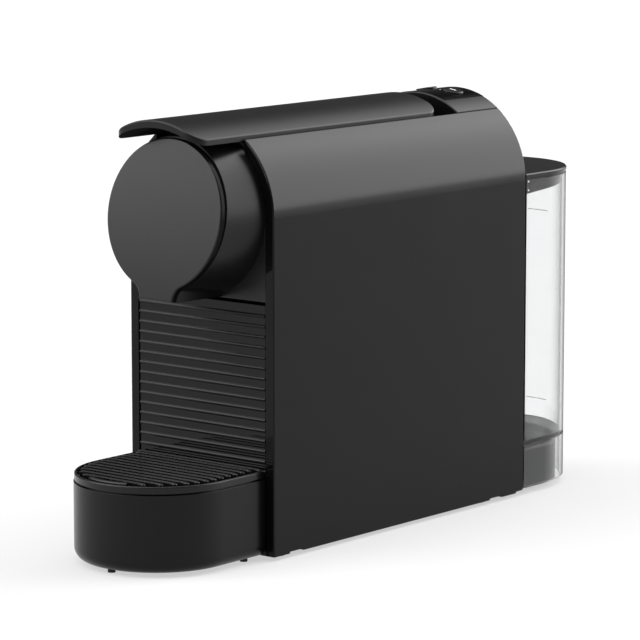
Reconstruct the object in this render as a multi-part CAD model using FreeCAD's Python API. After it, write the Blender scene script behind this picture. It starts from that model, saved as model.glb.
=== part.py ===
import FreeCAD, Part
import math
import os

# Pod coffee machine, millimetres. +Z is up, the front faces -Y, +X is the viewer's right.
# The origin is on the table under the middle of the overall length.

V = FreeCAD.Vector

# Gaps: between casing pieces, round seated pieces, round tight pins and round turning pins
CASE_GAP = 0.2
SEAT_GAP = 0.05
FIT_GAP = 0.02
RUN_GAP = 0.08

# Casing: an upright arch, drawn along Y
FRONT = -115.5
BACK = 121.0
SOLE = 2.5
HALF_WIDTH = 54.0
ARCH_Z = 194.4
WALL = 2.6
LIP_WIDTH = 6.0
LIP_DEPTH = 3.0
EDGE_ROUND = 0.8
SLOT_HALF = 33.0
NOTCH_HEIGHT = 1.0
NOTCHES = ((-101.7, -89.4), (87.1, 99.3), (113.7, BACK))
COVER_RIBS_Y = (-60.0, 0.0, 60.0)
COVER_RIB_DEPTH = 3.0
COVER_RIB_THICK = 1.6
COVER_RIB_LOW = 12.0
INNER = HALF_WIDTH - WALL

# Base plate, feet and the screws that hold the covers
BASE_THICK = 2.5
BASE_TOP = SOLE + BASE_THICK
BASE_HALF = INNER - CASE_GAP
TONGUE_HALF = 46.0
VENT_WIDTH = 3.0
VENT_LENGTH = 34.0
VENT_Y = 29.0
VENT_PITCH = 7.0
VENT_COUNT = 6
RAIL_IN = 45.2
RAIL_OUT = 46.6
RAIL_HEIGHT = 7.0
RAIL_FRONT = FRONT + 6.0
FOOT_R = 6.0
FOOT_BEVEL = 0.6
FOOT_PLACES = ((42.0, -100.0), (42.0, 88.0), (24.0, 178.0))
SCREW_X = 46.5
SCREW_Y = (20.0, 75.0)
SCREW_R = 1.45
SCREW_HEAD_R = 3.0
SCREW_HEAD = 1.5
SCREW_LENGTH = 13.0
SCREW_HOLE_R = 1.75
BOSS_R = 4.5
BOSS_TOP = 22.0

# Cord outlet: a trough in the base that leads to the left side
TROUGH_Y = 102.5
TROUGH_Z = 7.5
TROUGH_HALF = 4.5
TROUGH_WALL = 2.0
TROUGH_END = -32.0
TROUGH_TOP = 12.5
GLAND_BORE = 3.6
GLAND_NECK = 4.2
GLAND_FLANGE_R = 4.45
GLAND_FLANGE = 2.0
GLAND_HOLE = 9.0

# Rear panel and its air slots
PANEL_THICK = 3.0
PANEL_HALF = INNER - CASE_GAP
AIR_SLOT_LOW = 208.0
AIR_SLOT_PITCH = 6.0
AIR_SLOT_COUNT = 5
AIR_SLOT_HALF = 20.0
AIR_SLOT_HEIGHT = 2.4

# Rear cap with the control panel
CAP_FRONT = 80.5
CAP_FLANGE = 2.5
CAP_FLANGE_Z = 218.4
SEAM_WIDTH = 0.8
SEAM_DEPTH = 1.2
INLAY_ANGLE = 23.4
INLAY_THICK = 1.7
INLAY_FRONT = 82.0
INLAY_GAP = 0.1

# Buttons, pressed towards the arch's axis
BUTTON_Y = 105.0
BUTTON_ANGLE = 10.7
BUTTON_R = 6.6
BUTTON_HOLE_R = 7.0
BUTTON_PROUD = 0.9
BUTTON_TOP = HALF_WIDTH + BUTTON_PROUD
BUTTON_FLANGE_R = 8.0
BUTTON_FLANGE_LOW = 48.4
BUTTON_FLANGE_TOP = 49.7
BUTTON_BEVEL = 0.6
BOARD_HALF = 22.0
BOARD_Y = (92.0, 117.5)
BOARD_Z = (236.4, 238.0)
SWITCH_R = 2.6
SWITCH_X = 9.0
SWITCH_TOP = 239.9
HANGER_FRONT = 115.5
HANGER_LOW = 228.4

# Fascia behind the nose
FASCIA_HALF = 47.7
FASCIA_LOW = 147.0
FASCIA_FRONT = FRONT + CASE_GAP
FASCIA_BACK = FRONT + 3.5
FASCIA_HOLE_R = 38.0

# Nose: a tapered drum behind a tilted face with a short neck
NOSE_BASE_R = 47.7
NOSE_TAPER = 0.1667
NOSE_WALL = 2.5
DRUM_LENGTH = 60.0
FACE_TILT = 9.07
FACE_Y = FRONT - 31.2
FACE_Z = 195.5
FACE_RX = 42.4
FACE_RZ = 43.2
FACE_THICK = 4.0
FACE_ROUND = 0.9
NECK_HALF = 12.6
NECK_DROP = 48.0
NECK_BLEND = 9.0
DUCT_LOW = 147.5
DUCT_HIGH = 162.0
DUCT_FRONT_HALF = 11.0
DUCT_BACK_HALF = 16.0
DUCT_FRONT = FRONT - 45.0
MOUTH_HALF = 8.0
SPOUT_Y = FRONT - 20.0
SPOUT_R = 6.0
SPOUT_BORE = 3.5
SPOUT_ARM_R = 5.0
SPOUT_ARM_BORE = 3.0
SPOUT_LOW = 149.0
SPOUT_Z = 183.0

# Brew unit on the arch's axis
PLATE_FRONT = -112.0
PLATE_BACK = -105.0
PLATE_R = 24.5
PLATE_FLANGE_R = 26.0
PLATE_FLANGE = 1.5
SEAT_R = 19.0
SEAT_DEPTH = 1.5
STUD = 2.0
STUD_PITCH = 8.0
STUD_REACH = 1
SEAL_R = 21.6
SEAL_IN = 19.4
SEAL_DEPTH = 2.0
CHEEK_IN = 27.0
CHEEK_OUT = 30.0
CHEEK_LOW = 153.0
CHEEK_TOP = 226.0
CHEEK_BACK = 58.0
CHEEK_WINDOWS = ((-54.0, -16.0), (-2.0, 36.0))
WINDOW_Z = (166.0, 212.0)
WINDOW_ROUND = 7.0
RELIEF_Y = 57.0
RELIEF_LOW = 210.0
FRAME_PLATE_LOW = 160.0
GUIDE_Y = (-70.0, -60.0)
GUIDE_GAP = 0.3
CAGE_R = 23.0
CAGE_FRONT = -104.4
CAGE_BACK = -58.0
CAGE_MOUTH_R = 16.0
CAGE_FLOOR_R = 12.5
CAGE_DEPTH = 28.0
CAGE_NECK_HALF = 14.0
CAGE_NECK_RISE = 11.0
CAGE_NECK_BACK = -37.0
NEEDLE_COUNT = 3
NEEDLE_HALF = 1.6
NEEDLE_TIP = 0.2
NEEDLE_LENGTH = 6.0
NEEDLE_RING = 7.0
FEED_R = 3.0
FEED_BACK = 8.0
FEED_STOP = 0.5

# Lever and its linkage
LEVER_ARC_Z = 192.6
LEVER_R = 56.5
LEVER_THICK = 4.4
LEVER_UNDER_R = 62.0
LEVER_HALF = 31.6
LEVER_FRONT = FRONT - 39.1
LEVER_BACK = 65.0
LEVER_CORNER = 10.0
LEVER_EDGE = 1.0
HINGE_Y = 54.0
HINGE_Z = 226.0
HINGE_R = 2.95
HINGE_HUB = 6.5
KNEE_AHEAD = 22.5
KNEE_RISE = 7.5
KNEE_R = 2.5
KNEE_HUB = 5.5
EAR_IN = 22.5
EAR_OUT = 26.0
LINK_LENGTH = 86.0
LINK_IN = 17.5
LINK_OUT = 21.5
LINK_HALF = 4.2
LINK_EYE_R = 8.2
LINK_EYE_HOLE = 5.6
PIN_OVERHANG = 0.8

# Deck under the lever, with the capsule chute
DECK_R = 49.5
DECK_THICK = 2.0
DECK_HALF = 36.0
DECK_BACK = 12.0
CHUTE_HALF = 20.6
CHUTE_Y = (-104.6, -74.8)
CHUTE_WALL = 1.4
CHUTE_LOW = 219.5

# Shelf that carries the brew unit and the heater
SHELF_Z = (150.0, 153.0)
SHELF_BACK = 112.0
SHELF_DROP_HALF = 24.0
SHELF_DROP_Y = (-105.0, -70.0)
SHELF_HOSE_R = 4.6

# Heater
HEATER_R = 22.0
HEATER_Z = 178.0
HEATER_Y = (2.0, 74.0)
HEATER_RING_R = 24.0
HEATER_RING = 4.0
HEATER_RINGS = 4
HEATER_BOSS_HALF = 8.0
HEATER_BOSS_Z = (186.0, 202.0)
HEATER_BOSS_Y = (-3.0, 56.0)
HEATER_BORE = 3.35
HEATER_BORE_END = 48.0
HEATER_LEG_HALF = 16.0
HEATER_LEGS_Y = ((6.0, 12.0), (64.0, 70.0))
HEATER_NIPPLE_Z = 172.0

# Pump in two rubber rings
PUMP_Z = 60.0
COIL_HALF = 18.0
COIL_Y = (12.0, 46.0)
COIL_ROUND = 4.0
PUMP_BODY_R = 12.5
PUMP_BODY_Y = (-2.0, 62.0)
PUMP_ELBOW_R = 6.0
PUMP_ELBOW_Y = -15.0
PUMP_OUT_Y = -10.0
PUMP_OUT_TOP = 74.0
PUMP_IN_Y = 78.0
NIPPLE_R = 2.45
RING_R = 17.0
RING_Y = ((0.0, 8.0), (50.0, 58.0))
CRADLE_HALF = 22.0

# Flow meter and hoses
METER_Y = 97.0
METER_R = 13.0
METER_Z = (10.0, 24.0)
METER_FOOT_R = 6.0
METER_PORT_Z = 17.0
METER_PORT_Y = 116.5
METER_TOP = 31.0
HOSE_R = 4.0
HOSE_BORE = 2.5
HOSE_GRIP = 6.0
HOSE_ROOM = 0.5
PUMP_HOSE_BEND = 12.0
FEED_HOSE_BEND = 7.0

# Main control board, standing on the base
MAIN_BOARD_X = (40.0, 41.6)
MAIN_BOARD_Y = (24.0, 98.0)
MAIN_BOARD_TOP = 112.0
RELAY = (12.0, 18.0, 14.0)
RELAY_PLACES = ((32.0, 30.0), (66.0, 58.0))
CAPACITOR_R = 6.0
CAPACITOR_LENGTH = 10.0
CAPACITORS_Y = (52.0, 80.0)
CAPACITOR_Z = 92.0

# Tank dock, its port and the water tank
TANK_AXIS_Y = 146.2
DOCK_HALF = 48.7
DOCK_TOP = 27.6
DOCK_WALL = 2.4
DOCK_BEVEL = 1.6
DOCK_BOSS_R = 4.0
DOCK_BOSSES = ((-30.0, 135.0), (30.0, 135.0), (0.0, 182.0))
VALVE_Y = 152.0
PORT_R = 9.3
PORT_HOLE_R = 9.5
PORT_BORE = 8.3
PORT_Z = (12.5, 27.0)
PORT_FLOOR = 15.0
PORT_WELL_R = 6.8
PORT_FLANGE_R = 12.0
PORT_FLANGE = 2.0
PORT_PIN_R = 2.0
PORT_PIN_TOP = 26.9
PORT_NIPPLE_Y = 135.0
SEAL_RING_IN = 4.4
SEAL_RING_R = 8.2
SEAL_RING_Z = (23.4, 26.2)
TANK_HALF = 53.6
TANK_FRONT = 122.2
TANK_WALL = 2.2
TANK_LOW = 4.7
TANK_TOP = 194.5
TANK_FLOOR = (30.8, 33.3)
WAIST_Z = (30.9, 32.4)
WAIST_DEPTH = 0.9
VALVE_BOSS_R = 8.0
VALVE_BOSS_LOW = 26.5
TANK_SEAT_R = 17.0
TANK_SEAT_WALL = 2.0
VALVE_BORE = 4.0
VALVE_STEM_R = 3.3
VALVE_STEM_LOW = 27.2
VALVE_DISC_R = 6.5
VALVE_DISC_Z = (TANK_FLOOR[1], 35.5)
STRAINER_R = 11.0
STRAINER_TOP = 46.0
STRAINER_WALL = 1.5
STRAINER_BEVEL = 1.4
STRAINER_SLOTS = 8
STRAINER_SLOT_WIDTH = 2.4
STRAINER_SLOT_Z = (36.0, 42.0)

# Tank lid with a slanted inner rim
LID_HALF = 54.0
LID_FRONT = 121.6
LID_AXIS_Y = 146.0
LID_TOP = 198.4
LID_STEP_Z = 196.4
LID_LOW = TANK_TOP
LID_STEP = 0.8
LID_BEVEL = 0.7
RIM_HALF = 50.3
RIM_WALL = 2.0
RIM_FRONT = 125.0
RIM_LOW_FRONT = 185.6
RIM_LOW_BACK = 191.0
RIM_SLOT_Z = (186.9, 192.2)
RIM_SLOT_Y = (127.0, 131.0)
RIM_SLOT_HEIGHT = 1.4

# Drip tray, its rim and sled
TRAY_HALF = 47.8
TRAY_AXIS_Y = -152.2
TRAY_BACK = FRONT - 0.5
TRAY_LOW = 2.0
TRAY_TOP = 46.5
TRAY_ROUND = 7.0
TRAY_WALL = 2.2
TRAY_FLOOR = 2.5
LEDGE = 1.8
LEDGE_Z = (42.4, 44.4)
SLED_HALF = 44.0
SLED_GAP = 0.1
SLED_LOW = BASE_TOP + SLED_GAP
SLED_FLOOR = 2.4
SLED_BACK = -31.0
SLED_WALL_TOP = 16.0
SLED_WALL = 1.8
TRAY_FOOT_R = 2.2
TRAY_FEET = ((0.0, FRONT - 76.0), (39.0, FRONT - 9.0), (-39.0, FRONT - 9.0))

# Ribbed panel in front of the capsule bin
RIB_PANEL_HALF = 47.2
RIB_PANEL_Y = (FRONT + 0.6, FRONT + 3.1)
RIB_PANEL_Z = (47.5, 145.0)
RIB_TOP_Z = 139.05
RIB_PITCH = 5.917
RIB_COUNT = 16
RIB_R = 1.0
RIB_SINK = 0.35
BIN_HALF = 41.8
BIN_BACK = -33.0
BIN_WALL = 2.0
BIN_TOP = 138.0
BIN_ROUND = 6.0

# Drip grille
GRILLE_HALF = 47.4
GRILLE_WALL = 2.2
GRILLE_BEVEL = 0.6
GRILLE_Z = (47.2, 51.4)
GRILLE_BACK = FRONT - 1.0
GRILLE_LIP_HALF = 45.3
GRILLE_LIP = 1.5
GRILLE_LIP_GAP = 0.3
BAR_COUNT = 12
BAR_FIRST_Y = FRONT - 5.6
BAR_PITCH = 6.25
BAR_WIDTH = 3.3
BAR_CROWN = 1.1
BAR_END_GAP = 1.7
BAR_END_ROUND = 1.5
TAB_WIDTH = 2.0
TAB_TOP = 49.2
CRESCENT_R = (39.6, 42.6)
CRESCENT_ANGLE = 33.0
CRESCENT_TOP = 51.2
GRILLE_RIB_X = 16.0
GRILLE_RIB_HALF = 1.0
GRILLE_RIB_LOW = 45.6
GRILLE_RIB_REACH = 42.0

# Points of the linkage in the plane of symmetry
KNEE_Y = HINGE_Y - KNEE_AHEAD
KNEE_Z = HINGE_Z + KNEE_RISE
CAGE_PIN_Y = KNEE_Y - math.sqrt(LINK_LENGTH ** 2 - (KNEE_Z - ARCH_Z) ** 2)

# Working lengths: past any edge, just past a face, and close enough to call equal
FAR = 400.0
OVER = 1.0
NEAR = 1e-3


def box(xs, ys, zs):
    """Block between two corners, given as pairs along each axis."""
    return Part.makeBox(xs[1] - xs[0], ys[1] - ys[0], zs[1] - zs[0], V(xs[0], ys[0], zs[0]))


def rod(radius, start, end):
    """Round bar from one point to another."""
    run = V(*end) - V(*start)
    return Part.makeCylinder(radius, run.Length, V(*start), run)


def tube(outer, inner, start, end):
    """Round bar with a bore."""
    return rod(outer, start, end).cut(rod(inner, start, end))


def drawn(edges, run):
    """Solid drawn from a closed outline along a vector."""
    return Part.Face(Part.Wire(edges)).extrude(run)


def line(a, b):
    return Part.LineSegment(V(*a), V(*b)).toShape()


def arc(a, middle, b):
    return Part.Arc(V(*a), V(*middle), V(*b)).toShape()


def outline(points):
    """Closed outline of straight edges."""
    return [line(a, b) for a, b in zip(points, points[1:] + points[:1])]


def arch(radius, low, ys):
    """Upright arch: straight sides with a half round top, drawn along Y."""
    y = ys[0]
    edges = [
        line((-radius, y, low), (radius, y, low)),
        line((radius, y, low), (radius, y, ARCH_Z)),
        arc((radius, y, ARCH_Z), (0, y, ARCH_Z + radius), (-radius, y, ARCH_Z)),
        line((-radius, y, ARCH_Z), (-radius, y, low)),
    ]
    return drawn(edges, V(0, ys[1] - y, 0))


def dee(half, flat, axis_y, zs):
    """D-shaped block: a flat end at Y = flat and a half round end about axis_y."""
    z = zs[0]
    tip = axis_y + math.copysign(half, axis_y - flat)
    edges = [
        line((half, flat, z), (half, axis_y, z)),
        arc((half, axis_y, z), (0, tip, z), (-half, axis_y, z)),
        line((-half, axis_y, z), (-half, flat, z)),
        line((-half, flat, z), (half, flat, z)),
    ]
    return drawn(edges, V(0, 0, zs[1] - z))


def round_box(xs, ys, zs, radius):
    """Block whose upright edges are rounded."""
    block = box(xs, ys, zs)
    upright = [e for e in block.Edges if abs(e.Length - (zs[1] - zs[0])) < NEAR and is_along(e, 2)]
    return block.makeFillet(radius, upright)


def is_along(edge, axis):
    """True where a straight edge runs along X, Y or Z (0, 1 or 2)."""
    run = edge.Vertexes[-1].Point - edge.Vertexes[0].Point
    return abs(abs(run[axis]) - edge.Length) < NEAR


def edges_at(shape, axis, value):
    """Edges that lie wholly in the plane where one coordinate has a value."""
    found = []
    for edge in shape.Edges:
        low = edge.BoundBox
        span = ((low.XMin, low.XMax), (low.YMin, low.YMax), (low.ZMin, low.ZMax))[axis]
        if abs(span[0] - value) < NEAR and abs(span[1] - value) < NEAR:
            found.append(edge)
    return found


def fuse(pieces):
    """One solid from pieces that meet or overlap."""
    return pieces[0].multiFuse(pieces[1:]).removeSplitter()


def both_sides(shape):
    """The shape and its mirror image across the plane of symmetry."""
    return [shape, shape.mirror(V(0, 0, 0), V(1, 0, 0))]


def hose(points, bend, outer, inner):
    """Hose through three points: two straight runs and one square bend between them."""
    start, corner, end = [V(*p) for p in points]
    into = (corner - start).normalize()
    away = (end - corner).normalize()
    first = corner - into * bend
    last = corner + away * bend
    centre = first + away * bend
    axis = into.cross(away)
    solids = []
    for radius in (outer, inner):
        ring = Part.Face(Part.Wire([Part.Circle(first, into, radius).toShape()]))
        turn = ring.revolve(centre, axis, 90)
        solids.append(fuse([rod(radius, start, first), turn, rod(radius, last, end)]))
    return solids[0].cut(solids[1])


def save(name, shape):
    shape.exportStep("parts/" + name + ".step")


# Casing


def casing():
    """Both covers in one piece: side walls, arch and the return lip round the front."""
    shell = arch(HALF_WIDTH, SOLE, (FRONT, BACK))
    ends = edges_at(shell, 1, FRONT) + edges_at(shell, 1, BACK)
    shell = shell.makeFillet(EDGE_ROUND, [e for e in ends if e.BoundBox.ZMax > SOLE + OVER])
    hollow = arch(INNER, SOLE - OVER, (FRONT + LIP_DEPTH, BACK + OVER))
    mouth = arch(HALF_WIDTH - LIP_WIDTH, SOLE - OVER, (FRONT - OVER, FRONT + LIP_DEPTH + OVER))
    slot = box((-SLOT_HALF, SLOT_HALF), (FRONT - OVER, BACK + OVER), (ARCH_Z, ARCH_Z + FAR))
    return shell.cut([hollow, mouth, slot])


def side_cover(shell, side):
    """One cover with its stiffening ribs, screw bosses and the notches in its bottom edge."""
    half = box(sorted((0, side * FAR)), (-FAR, FAR), (0, FAR))
    pieces = [shell.common(half)]
    inner = side * (INNER + OVER)
    for y in COVER_RIBS_Y:
        ys = (y - COVER_RIB_THICK / 2, y + COVER_RIB_THICK / 2)
        xs = sorted((inner, side * (INNER - COVER_RIB_DEPTH)))
        pieces.append(box(xs, ys, (COVER_RIB_LOW, SHELF_Z[0])))
    for y in SCREW_Y:
        x = side * SCREW_X
        pieces.append(rod(BOSS_R, (x, y, BASE_TOP), (x, y, BOSS_TOP)))
        web = (y - COVER_RIB_THICK / 2, y + COVER_RIB_THICK / 2)
        pieces.append(box(sorted((x, inner)), web, (BASE_TOP, BOSS_TOP)))
    cover = fuse(pieces)
    cuts = []
    for y in SCREW_Y:
        x = side * SCREW_X
        cuts.append(rod(SCREW_R + FIT_GAP, (x, y, SOLE), (x, y, SOLE + SCREW_LENGTH + OVER)))
    wall = sorted((side * (HALF_WIDTH - LIP_WIDTH - OVER), side * (HALF_WIDTH + OVER)))
    for ys in NOTCHES:
        cuts.append(box(wall, ys, (SOLE - OVER, SOLE + NOTCH_HEIGHT)))
    if side < 0:
        ys = (TROUGH_Y - TROUGH_HALF, TROUGH_Y + TROUGH_HALF)
        cuts.append(box(wall, ys, (SOLE - OVER, TROUGH_TOP)))
    return cover.cut(cuts)


def base_plate():
    """Floor of the machine: tongue under the tank, drawer rails, pump cradle, vents, cord trough."""
    zs = (SOLE, BASE_TOP)
    front_half = HALF_WIDTH - LIP_WIDTH - CASE_GAP
    step = FRONT + LIP_DEPTH + CASE_GAP
    pieces = [
        box((-BASE_HALF, BASE_HALF), (step, BACK), zs),
        box((-front_half, front_half), (FRONT, step), zs),
        dee(TONGUE_HALF, BACK, TANK_AXIS_Y, zs),
    ]
    rail = box((RAIL_IN, RAIL_OUT), (RAIL_FRONT, SLED_BACK), (SOLE, BASE_TOP + RAIL_HEIGHT))
    pieces += both_sides(rail)
    for ys in RING_Y:
        pieces.append(box((-CRADLE_HALF, CRADLE_HALF), ys, (SOLE, PUMP_Z)))
    wall = TROUGH_HALF + TROUGH_WALL
    trough = box(
        (-BASE_HALF, TROUGH_END + TROUGH_WALL),
        (TROUGH_Y - wall, TROUGH_Y + wall),
        (SOLE, TROUGH_TOP + TROUGH_WALL),
    )
    pieces.append(trough)
    cuts = [
        box(
            (-FAR, TROUGH_END),
            (TROUGH_Y - TROUGH_HALF, TROUGH_Y + TROUGH_HALF),
            (SOLE - OVER, TROUGH_TOP),
        ),
        rod(
            GLAND_NECK,
            (TROUGH_END - OVER, TROUGH_Y, TROUGH_Z),
            (TROUGH_END + GLAND_HOLE, TROUGH_Y, TROUGH_Z),
        ),
    ]
    for ys in RING_Y:
        cuts.append(rod(RING_R + SEAT_GAP, (0, ys[0] - OVER, PUMP_Z), (0, ys[1] + OVER, PUMP_Z)))
    first = -VENT_PITCH * (VENT_COUNT - 1) / 2
    for i in range(VENT_COUNT):
        x = first + i * VENT_PITCH
        ys = (VENT_Y - VENT_LENGTH / 2, VENT_Y + VENT_LENGTH / 2)
        cuts.append(box((x - VENT_WIDTH / 2, x + VENT_WIDTH / 2), ys, (SOLE - OVER, BASE_TOP + OVER)))
    for side in (-1, 1):
        for y in SCREW_Y:
            x = side * SCREW_X
            cuts.append(rod(SCREW_HOLE_R, (x, y, SOLE - OVER), (x, y, BASE_TOP + OVER)))
    return fuse(pieces).cut(cuts)


def cord_gland():
    """Bush in the end wall of the cord trough."""
    neck_end = TROUGH_END + TROUGH_WALL + GLAND_FLANGE
    body = fuse([
        rod(GLAND_NECK - FIT_GAP, (TROUGH_END, TROUGH_Y, TROUGH_Z), (neck_end, TROUGH_Y, TROUGH_Z)),
        rod(
            GLAND_FLANGE_R,
            (TROUGH_END - GLAND_FLANGE, TROUGH_Y, TROUGH_Z),
            (TROUGH_END, TROUGH_Y, TROUGH_Z),
        ),
    ])
    bore = rod(
        GLAND_BORE,
        (TROUGH_END - GLAND_FLANGE - OVER, TROUGH_Y, TROUGH_Z),
        (neck_end + OVER, TROUGH_Y, TROUGH_Z),
    )
    return body.cut(bore)


def base_feet():
    feet = []
    for x, y in FOOT_PLACES:
        for side in (-1, 1):
            foot = rod(FOOT_R, (side * x, y, 0), (side * x, y, SOLE))
            feet.append(foot.makeChamfer(FOOT_BEVEL, edges_at(foot, 2, 0)))
    return Part.makeCompound(feet)


def base_screws():
    screws = []
    for side in (-1, 1):
        for y in SCREW_Y:
            x = side * SCREW_X
            head = rod(SCREW_HEAD_R, (x, y, SOLE - SCREW_HEAD), (x, y, SOLE))
            shank = rod(SCREW_R, (x, y, SOLE), (x, y, SOLE + SCREW_LENGTH))
            screws.append(head.fuse(shank).removeSplitter())
    return Part.makeCompound(screws)


def rear_panel():
    """Back wall, with air slots above the tank and a hole for the water hose."""
    wall = arch(PANEL_HALF, BASE_TOP, (BACK - PANEL_THICK, BACK))
    ys = (BACK - PANEL_THICK - OVER, BACK + OVER)
    cuts = [rod(HOSE_R + HOSE_ROOM, (0, ys[0], METER_PORT_Z), (0, ys[1], METER_PORT_Z))]
    for i in range(AIR_SLOT_COUNT):
        low = AIR_SLOT_LOW + i * AIR_SLOT_PITCH
        cuts.append(box((-AIR_SLOT_HALF, AIR_SLOT_HALF), ys, (low, low + AIR_SLOT_HEIGHT)))
    return wall.cut(cuts)


# Rear cap, control panel and buttons


def wedge(angle, ys):
    """Sector about the arch's axis, the same angle to both sides of upright."""
    x = FAR * math.sin(math.radians(angle))
    z = ARCH_Z + FAR * math.cos(math.radians(angle))
    return drawn(outline([(0, ys[0], ARCH_Z), (x, ys[0], z), (-x, ys[0], z)]), V(0, ys[1] - ys[0], 0))


def ring_sector(outer, inner, angle, ys):
    ring = rod(outer, (0, ys[0], ARCH_Z), (0, ys[1], ARCH_Z))
    bore = rod(inner, (0, ys[0] - OVER, ARCH_Z), (0, ys[1] + OVER, ARCH_Z))
    return ring.cut(bore).common(wedge(angle, ys))


def on_button_axis(shape, side):
    """Moves a shape made along +Z at the origin onto a button's axis."""
    turned = shape.copy()
    turned.rotate(V(0, 0, 0), V(0, 1, 0), side * BUTTON_ANGLE)
    turned.translate(V(0, BUTTON_Y, ARCH_Z))
    return turned


def button_holes():
    hole = rod(BUTTON_HOLE_R, (0, 0, BUTTON_FLANGE_TOP), (0, 0, HALF_WIDTH + OVER))
    return [on_button_axis(hole, side) for side in (-1, 1)]


def rear_cap():
    """Arch piece behind the lever: front wall, recess for the control panel, grooves along its seams."""
    ys = (CAP_FRONT, BACK)
    block = rod(HALF_WIDTH, (0, ys[0], ARCH_Z), (0, ys[1], ARCH_Z))
    block = block.makeFillet(EDGE_ROUND, edges_at(block, 1, CAP_FRONT) + edges_at(block, 1, BACK))
    ring = block.cut(rod(INNER, (0, ys[0] + CAP_FLANGE, ARCH_Z), (0, ys[1] + OVER, ARCH_Z)))
    span = box((-SLOT_HALF, SLOT_HALF), ys, (CAP_FLANGE_Z, ARCH_Z + FAR))
    recess = ring_sector(
        HALF_WIDTH + OVER,
        HALF_WIDTH - INLAY_THICK - INLAY_GAP,
        INLAY_ANGLE,
        (INLAY_FRONT, BACK + OVER),
    )
    seam_z = ARCH_Z + math.sqrt(HALF_WIDTH ** 2 - SLOT_HALF ** 2) - SEAM_DEPTH
    groove = box((SLOT_HALF - SEAM_WIDTH, SLOT_HALF + OVER), (-FAR, FAR), (seam_z, ARCH_Z + FAR))
    return ring.common(span).cut([recess] + button_holes() + both_sides(groove))


def control_panel():
    ys = (INLAY_FRONT, BACK - INLAY_GAP)
    sheet = ring_sector(HALF_WIDTH, HALF_WIDTH - INLAY_THICK, INLAY_ANGLE, ys)
    return sheet.cut(button_holes())


def cup_button(side):
    """Round key with a bevelled rim and a retaining flange."""
    key = rod(BUTTON_R, (0, 0, BUTTON_FLANGE_LOW), (0, 0, BUTTON_TOP))
    key = key.makeChamfer(BUTTON_BEVEL, edges_at(key, 2, BUTTON_TOP))
    flange = rod(BUTTON_FLANGE_R, (0, 0, BUTTON_FLANGE_LOW), (0, 0, BUTTON_FLANGE_TOP))
    return on_button_axis(fuse([key, flange]), side)


def button_board():
    """Small circuit board with a switch under each button, hung from the rear wall."""
    sheet = box((-BOARD_HALF, BOARD_HALF), BOARD_Y, BOARD_Z)
    switches = []
    for side in (-1, 1):
        x = side * SWITCH_X
        switches.append(rod(SWITCH_R, (x, BUTTON_Y, BOARD_Z[0]), (x, BUTTON_Y, SWITCH_TOP)))
    ys = (HANGER_FRONT, BACK - PANEL_THICK)
    hanger = box((-BOARD_HALF, BOARD_HALF), ys, (HANGER_LOW, BOARD_Z[1]))
    return fuse([sheet, hanger] + switches)


# Nose


def front_fascia():
    """Plate that closes the arch behind the nose."""
    plate = arch(FASCIA_HALF, FASCIA_LOW, (FASCIA_FRONT, FASCIA_BACK))
    return plate.cut(rod(FASCIA_HOLE_R, (0, FRONT - OVER, ARCH_Z), (0, FASCIA_BACK + OVER, ARCH_Z)))


def on_face(shape):
    """Moves a shape from the XY plane, front up, onto the nose's tilted face."""
    placed = shape.copy()
    placed.rotate(V(0, 0, 0), V(1, 0, 0), 90 - FACE_TILT)
    placed.translate(V(0, FACE_Y, FACE_Z))
    return placed


def oval():
    """Outline of the nose's face: four tangent arcs, a little taller than wide."""
    shift = (FACE_RZ - FACE_RX) / (2 - math.sqrt(2))
    end_r = FACE_RZ - shift
    join_x = end_r * math.sqrt(0.5)
    join_z = join_x + shift
    return Part.Wire([
        arc((join_x, join_z, 0), (0, FACE_RZ, 0), (-join_x, join_z, 0)),
        arc((-join_x, join_z, 0), (-FACE_RX, 0, 0), (-join_x, -join_z, 0)),
        arc((-join_x, -join_z, 0), (0, -FACE_RZ, 0), (join_x, -join_z, 0)),
        arc((join_x, -join_z, 0), (FACE_RX, 0, 0), (join_x, join_z, 0)),
    ])


def nose_face():
    """Oval front plate that runs down into a neck over the spout."""
    plate = Part.Face(oval()).extrude(V(0, 0, -FACE_THICK))
    neck = box((-NECK_HALF, NECK_HALF), (-NECK_DROP, 0), (-FACE_THICK, 0))
    body = fuse([plate, neck])
    inner = []
    for edge in body.Edges:
        low = edge.BoundBox
        if is_along(edge, 2) and abs(abs(low.XMin) - NECK_HALF) < NEAR and low.YMin > -NECK_DROP + OVER:
            inner.append(edge)
    body = body.makeFillet(NECK_BLEND, inner)
    body = body.makeFillet(FACE_ROUND, edges_at(body, 2, 0))
    return on_face(body)


def nose_drum(inset, back):
    """Tapered drum about the arch's axis, from the fascia forward."""
    base = NOSE_BASE_R - inset
    tip = base - NOSE_TAPER * DRUM_LENGTH
    return Part.makeCone(base, tip, DRUM_LENGTH, V(0, back, ARCH_Z), V(0, -1, 0))


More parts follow.
